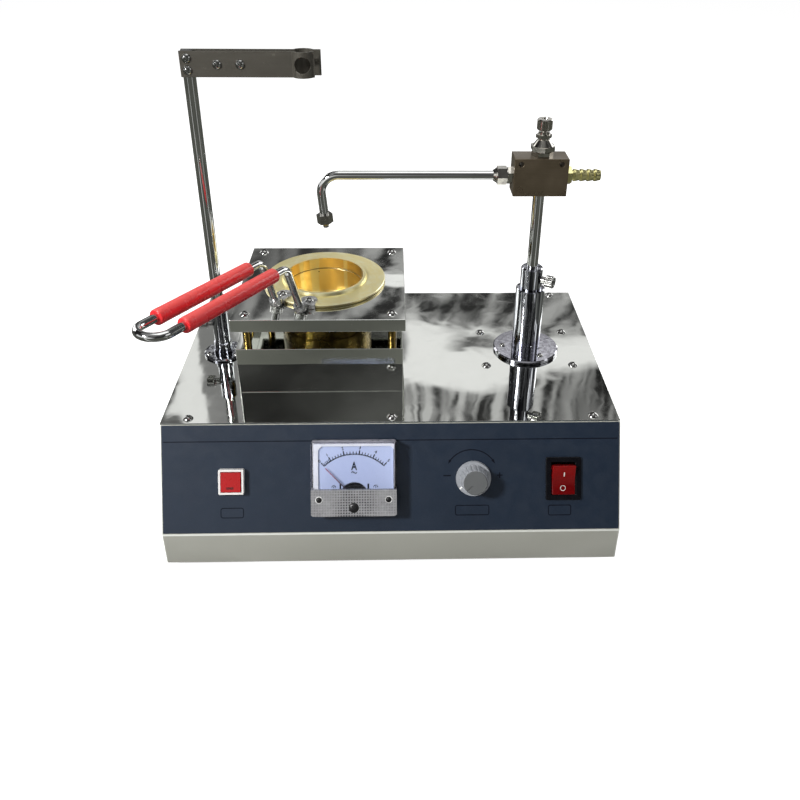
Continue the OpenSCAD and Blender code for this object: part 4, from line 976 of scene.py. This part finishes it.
def grip(name, side):
    """A vinyl sleeve with both ends rounded off, swollen a little near its lower one."""
    quarter = np.linspace(0, np.pi / 2, 7)
    middle = np.linspace(1.4, SLEEVE_LEN - 1.4, 60)
    u = np.concatenate([[0], 1 - np.cos(quarter), middle])
    u = np.concatenate([u, SLEEVE_LEN - 1 + np.sin(quarter), [SLEEVE_LEN]])
    end = np.clip(np.minimum(u, SLEEVE_LEN - u), 0, 1)
    r = SLEEVE_R - 0.12 - 1.0 * (1 - np.sqrt(np.clip(1 - (1 - end) ** 2, 0, 1)))
    r = r + SWELL * np.exp(-(((SLEEVE_LEN - u) - SWELL_AT) / SWELL_REACH) ** 2)
    r[0] = r[-1] = ROD_R + 0.02
    t = around(48)
    along = np.array([math.cos(HANDLE_SLOPE), 0, math.sin(HANDLE_SLOPE)])
    rise = np.array([-math.sin(HANDLE_SLOPE), 0, math.cos(HANDLE_SLOPE)])
    ring = np.cos(t)[:, None] * np.array([0, 1, 0]) + np.sin(t)[:, None] * rise
    foot = np.array([ELBOW_R, side * HANDLE_SPAN / 2, ELBOW_Z])
    points = foot + (SLEEVE_START + u)[:, None, None] * along + r[:, None, None] * ring
    c, s = math.cos(HANDLE_TURN), math.sin(HANDLE_TURN)
    points = points @ np.array([[c, s, 0], [-s, c, 0], [0, 0, 1]]) + np.array([*CUP_AXIS, 0])
    points, faces = points.reshape(-1, 3), grid_faces(len(u), len(t), closed=True)
    return add_piece(name, points, faces, "cup_unit", FINISHES["sleeve_red"], True)


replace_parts(grip("grip_near", -1), "handle_sleeves")
grip("grip_far", 1)


# ------------------------------------------------------------ light and stage

LAMP_AIM = Vector((0, 0, 0.12))


def lamp(name, towards, distance, size, power):
    """A square softbox that faces the middle of the object from a direction."""
    data = bpy.data.lights.new(name, "AREA")
    data.size, data.energy = size, power
    made = add_object(name, data)
    ray = Vector(towards).normalized()
    made.location = LAMP_AIM + ray * distance
    made.rotation_euler = ray.to_track_quat("Z", "Y").to_euler()


lamp("key", (-0.62, -0.55, 0.56), 1.5, 0.2, 21)
lamp("top", (0.1, 0.15, 1.0), 1.6, 1.0, 5.5)
lamp("side", (1.0, -0.35, 0.5), 1.8, 0.8, 2.5)
lamp("back_right", (0.9, 0.75, 0.4), 1.6, 0.8, 7)
lamp("back_left", (-0.9, 0.75, 0.4), 1.6, 0.8, 5)

ROOM = bpy.data.worlds.new("room")
bpy.context.scene.world = ROOM
w = Tree(ROOM)
direction = w.node("TexCoord", out="Generated")
dx, dy, dz = w.axes(direction)
azimuth = dy.math("ARCTAN2", dx)


def band(value, middle, near, far):
    """1 round a middle value, fading to 0 between the distances near and far from it."""
    return (value - middle).math("ABSOLUTE").fade(near, far, 1, 0)


# Light and dark areas of a made-up room, which only mirrors show. In the half behind the object
# they are placed by the tangent t of the azimuth and the sine e of the height.
t = dx / dy.math("MAXIMUM", 0.08)
sway = w.noise(1.0, 2, vector=w.join(t * 9, dz * 14, 0)) - 0.5
slope = dz / dy.math("MAXIMUM", 0.08)
e = slope / (slope * slope + 1).math("SQRT") + sway * 0.016
streaks = w.noise(1.0, 2, 0.4, vector=w.join(t * 62 + sway * 3, dz * 7, 3))
mottle = w.noise(1.0, 3, 0.5, vector=w.join(t * 36 + e * 24, e * 18, 7))

# To the right: mottled below, pale between two edges that bend, streaked above
line = band(e, 0.452, 0.006, 0.011)
below = mottle.fade(0.38, 0.62, 0.03, 0.42) * (1 - line) + line + e.fade(0.34, 0.4, 0.6, 0)
low_edge = t.fade(0.0, 0.13, 0.490, 0.506) + t.fade(0.16, 0.24, 0, 0.006)
low_edge = low_edge + t.fade(-0.02, 0.02, 0.02, 0)
over_low = (e - low_edge).fade(-0.003, 0.004)
over_high = (e - t.fade(0.13, 0.2, 0.564, 0.545)).fade(-0.006, 0.006)
tongue = band(e, 0.517, 0.003, 0.008) * band(t, 0.125, 0.015, 0.055)
right_grey = below * (1 - over_low) + over_low * (0.92 - tongue * 0.8)
streaked = streaks.fade(0.4, 0.6, 0.03, 0.55) * t.fade(0.2, 0.26, 1, 0.6)
right_grey = right_grey * (1 - over_high) + over_high * streaked

# To the left: pale with a dim upright band and two dark corners, mottled below
pale = 0.88 - band(t, -0.248, 0.025, 0.031) * 0.65
wide_corner = (t + (e - 0.553) * 0.93).fade(-0.3125, -0.3075, 0.94, 0) * e.fade(0.547, 0.553)
top_corner = t.fade(-0.318, -0.308, 0.85, 0) * e.fade(0.5885, 0.591)
pale = pale * (1 - wide_corner.math("MAXIMUM", top_corner))
dim = mottle.fade(0.38, 0.62, 0.04, 0.2) * e.fade(0.44, 0.47, 1, 1.6)
over = e.fade(0.49, 0.51)
left_grey = pale * over + (1 - over) * dim

to_right = t.fade(-0.12, 0.0)
grey = right_grey * to_right + left_grey * (1 - to_right)
spot = band(t, -0.025, 0.035, 0.05) * band(e, 0.516, 0.018, 0.026)
# Past what the front view mirrors it is dimmer: the sheets then stand out from the backdrop
grey = grey * (1 - spot * 0.85) * t.fade(-0.5, -0.37, 0.45, 1) * t.fade(0.36, 0.5, 1, 0.5)

# The half before the object: a glow low down that fades to the right, a dark wall, a bright strip
wall = w.noise(1.0, 3, vector=w.join(azimuth * 3, dz * 5, 7)).fade(0.35, 0.65, 0.02, 0.13)
low = dz.fade(0.3, 0.44, 1, 0)
front_grey = low * azimuth.fade(-1.95, -1.35, 1.1, 0.03) + (1 - low) * wall
front_grey = front_grey + band(azimuth, -2.2, 0.05, 0.12) * 0.6

CEILING_LEVEL, DIFFUSE_LEVEL = 0.35, 0.15
rear, ceiling = dy.fade(-0.1, 0.1), dz.fade(0.74, 0.84)
room_grey = grey * rear + front_grey * (1 - rear)
room_grey = room_grey * (1 - ceiling) + ceiling * CEILING_LEVEL
shiny = w.ray("Glossy")
direct = w.ray("Camera").math("MAXIMUM", w.ray("Transmission"))
level = DIFFUSE_LEVEL * (1 - shiny) + room_grey * shiny
level = level * (1 - direct) + direct
w.node("OutputWorld", {0: w.node("Background", {0: (1, 1, 1, 1), 1: level})})

FLOOR_GLOW = 0.88


def pale_floor():
    """Pale floor with the object's shadow; mirrors see it dark, but for two paler strips."""
    f = Finish("pale_floor")
    matt = f.node("BsdfDiffuse", {0: (0.62, 0.62, 0.62, 1)})
    glow = f.node("Emission", {0: (1, 1, 1, 1), 1: FLOOR_GLOW})
    lit = f.node("AddShader", {0: matt, 1: glow})
    x, y, _ = f.axes()
    azimuth = x.math("ARCTAN2", -1 * y)
    left_strip = (azimuth + 0.72).math("ABSOLUTE").fade(0.03, 0.08, 0.45, 1)
    right_strip = (azimuth - 0.85).math("ABSOLUTE").fade(0.04, 0.1, 0.5, 1)
    dark = left_strip.math("MINIMUM", right_strip)
    cloud = f.noise(3.5, 3).fade(0.35, 0.65, 0.10, 0.17)
    room = f.node("Emission", {0: (0.97, 1, 0.88, 1), 1: cloud})
    mirrored = f.node("MixShader", {0: dark, 1: lit, 2: room})
    shiny = f.ray("Glossy")
    view = f.node("MixShader", {0: shiny, 1: lit, 2: mirrored})
    factor = f.ray("Camera").math("MAXIMUM", shiny).math("MAXIMUM", f.ray("Transmission"))
    f.node("OutputMaterial", {0: f.node("MixShader", {0: factor, 1: matt, 2: view})})
    return f.material


HALF = 6.0
floor_mesh = bpy.data.meshes.new("floor")
corners = [(-HALF, -HALF, 0), (HALF, -HALF, 0), (HALF, HALF, 0), (-HALF, HALF, 0)]
floor_mesh.from_pydata(corners, [], [(0, 1, 2, 3)])
floor_mesh.materials.append(pale_floor())
add_object("floor", floor_mesh)

# --------------------------------------------------------------------- camera

# The camera's three axes: level ones first, then turned by the roll
ahead = np.array([math.sin(YAW), math.cos(YAW), 0.0])
forward = ahead * math.cos(PITCH) + np.array([0.0, 0.0, -math.sin(PITCH)])
level_right = np.array([math.cos(YAW), -math.sin(YAW), 0.0])
level_up = np.cross(level_right, forward)
right = level_right * math.cos(ROLL) + level_up * math.sin(ROLL)
up = level_up * math.cos(ROLL) - level_right * math.sin(ROLL)
lens = bpy.data.cameras.new("camera")
lens.sensor_width, lens.lens = SENSOR, FOCAL_PX / PHOTO * SENSOR
lens.shift_x = 0.5 - CENTRE_PX[0] / PHOTO
lens.shift_y = CENTRE_PX[1] / PHOTO - 0.5
lens.clip_start = 0.01
camera = add_object("camera", lens)
turned = Matrix([right, up, -forward]).transposed().to_4x4()
camera.matrix_world = Matrix.Translation(CAMERA_PLACE) @ turned
bpy.context.scene.camera = camera
bpy.context.scene.view_settings.view_transform = "Standard"
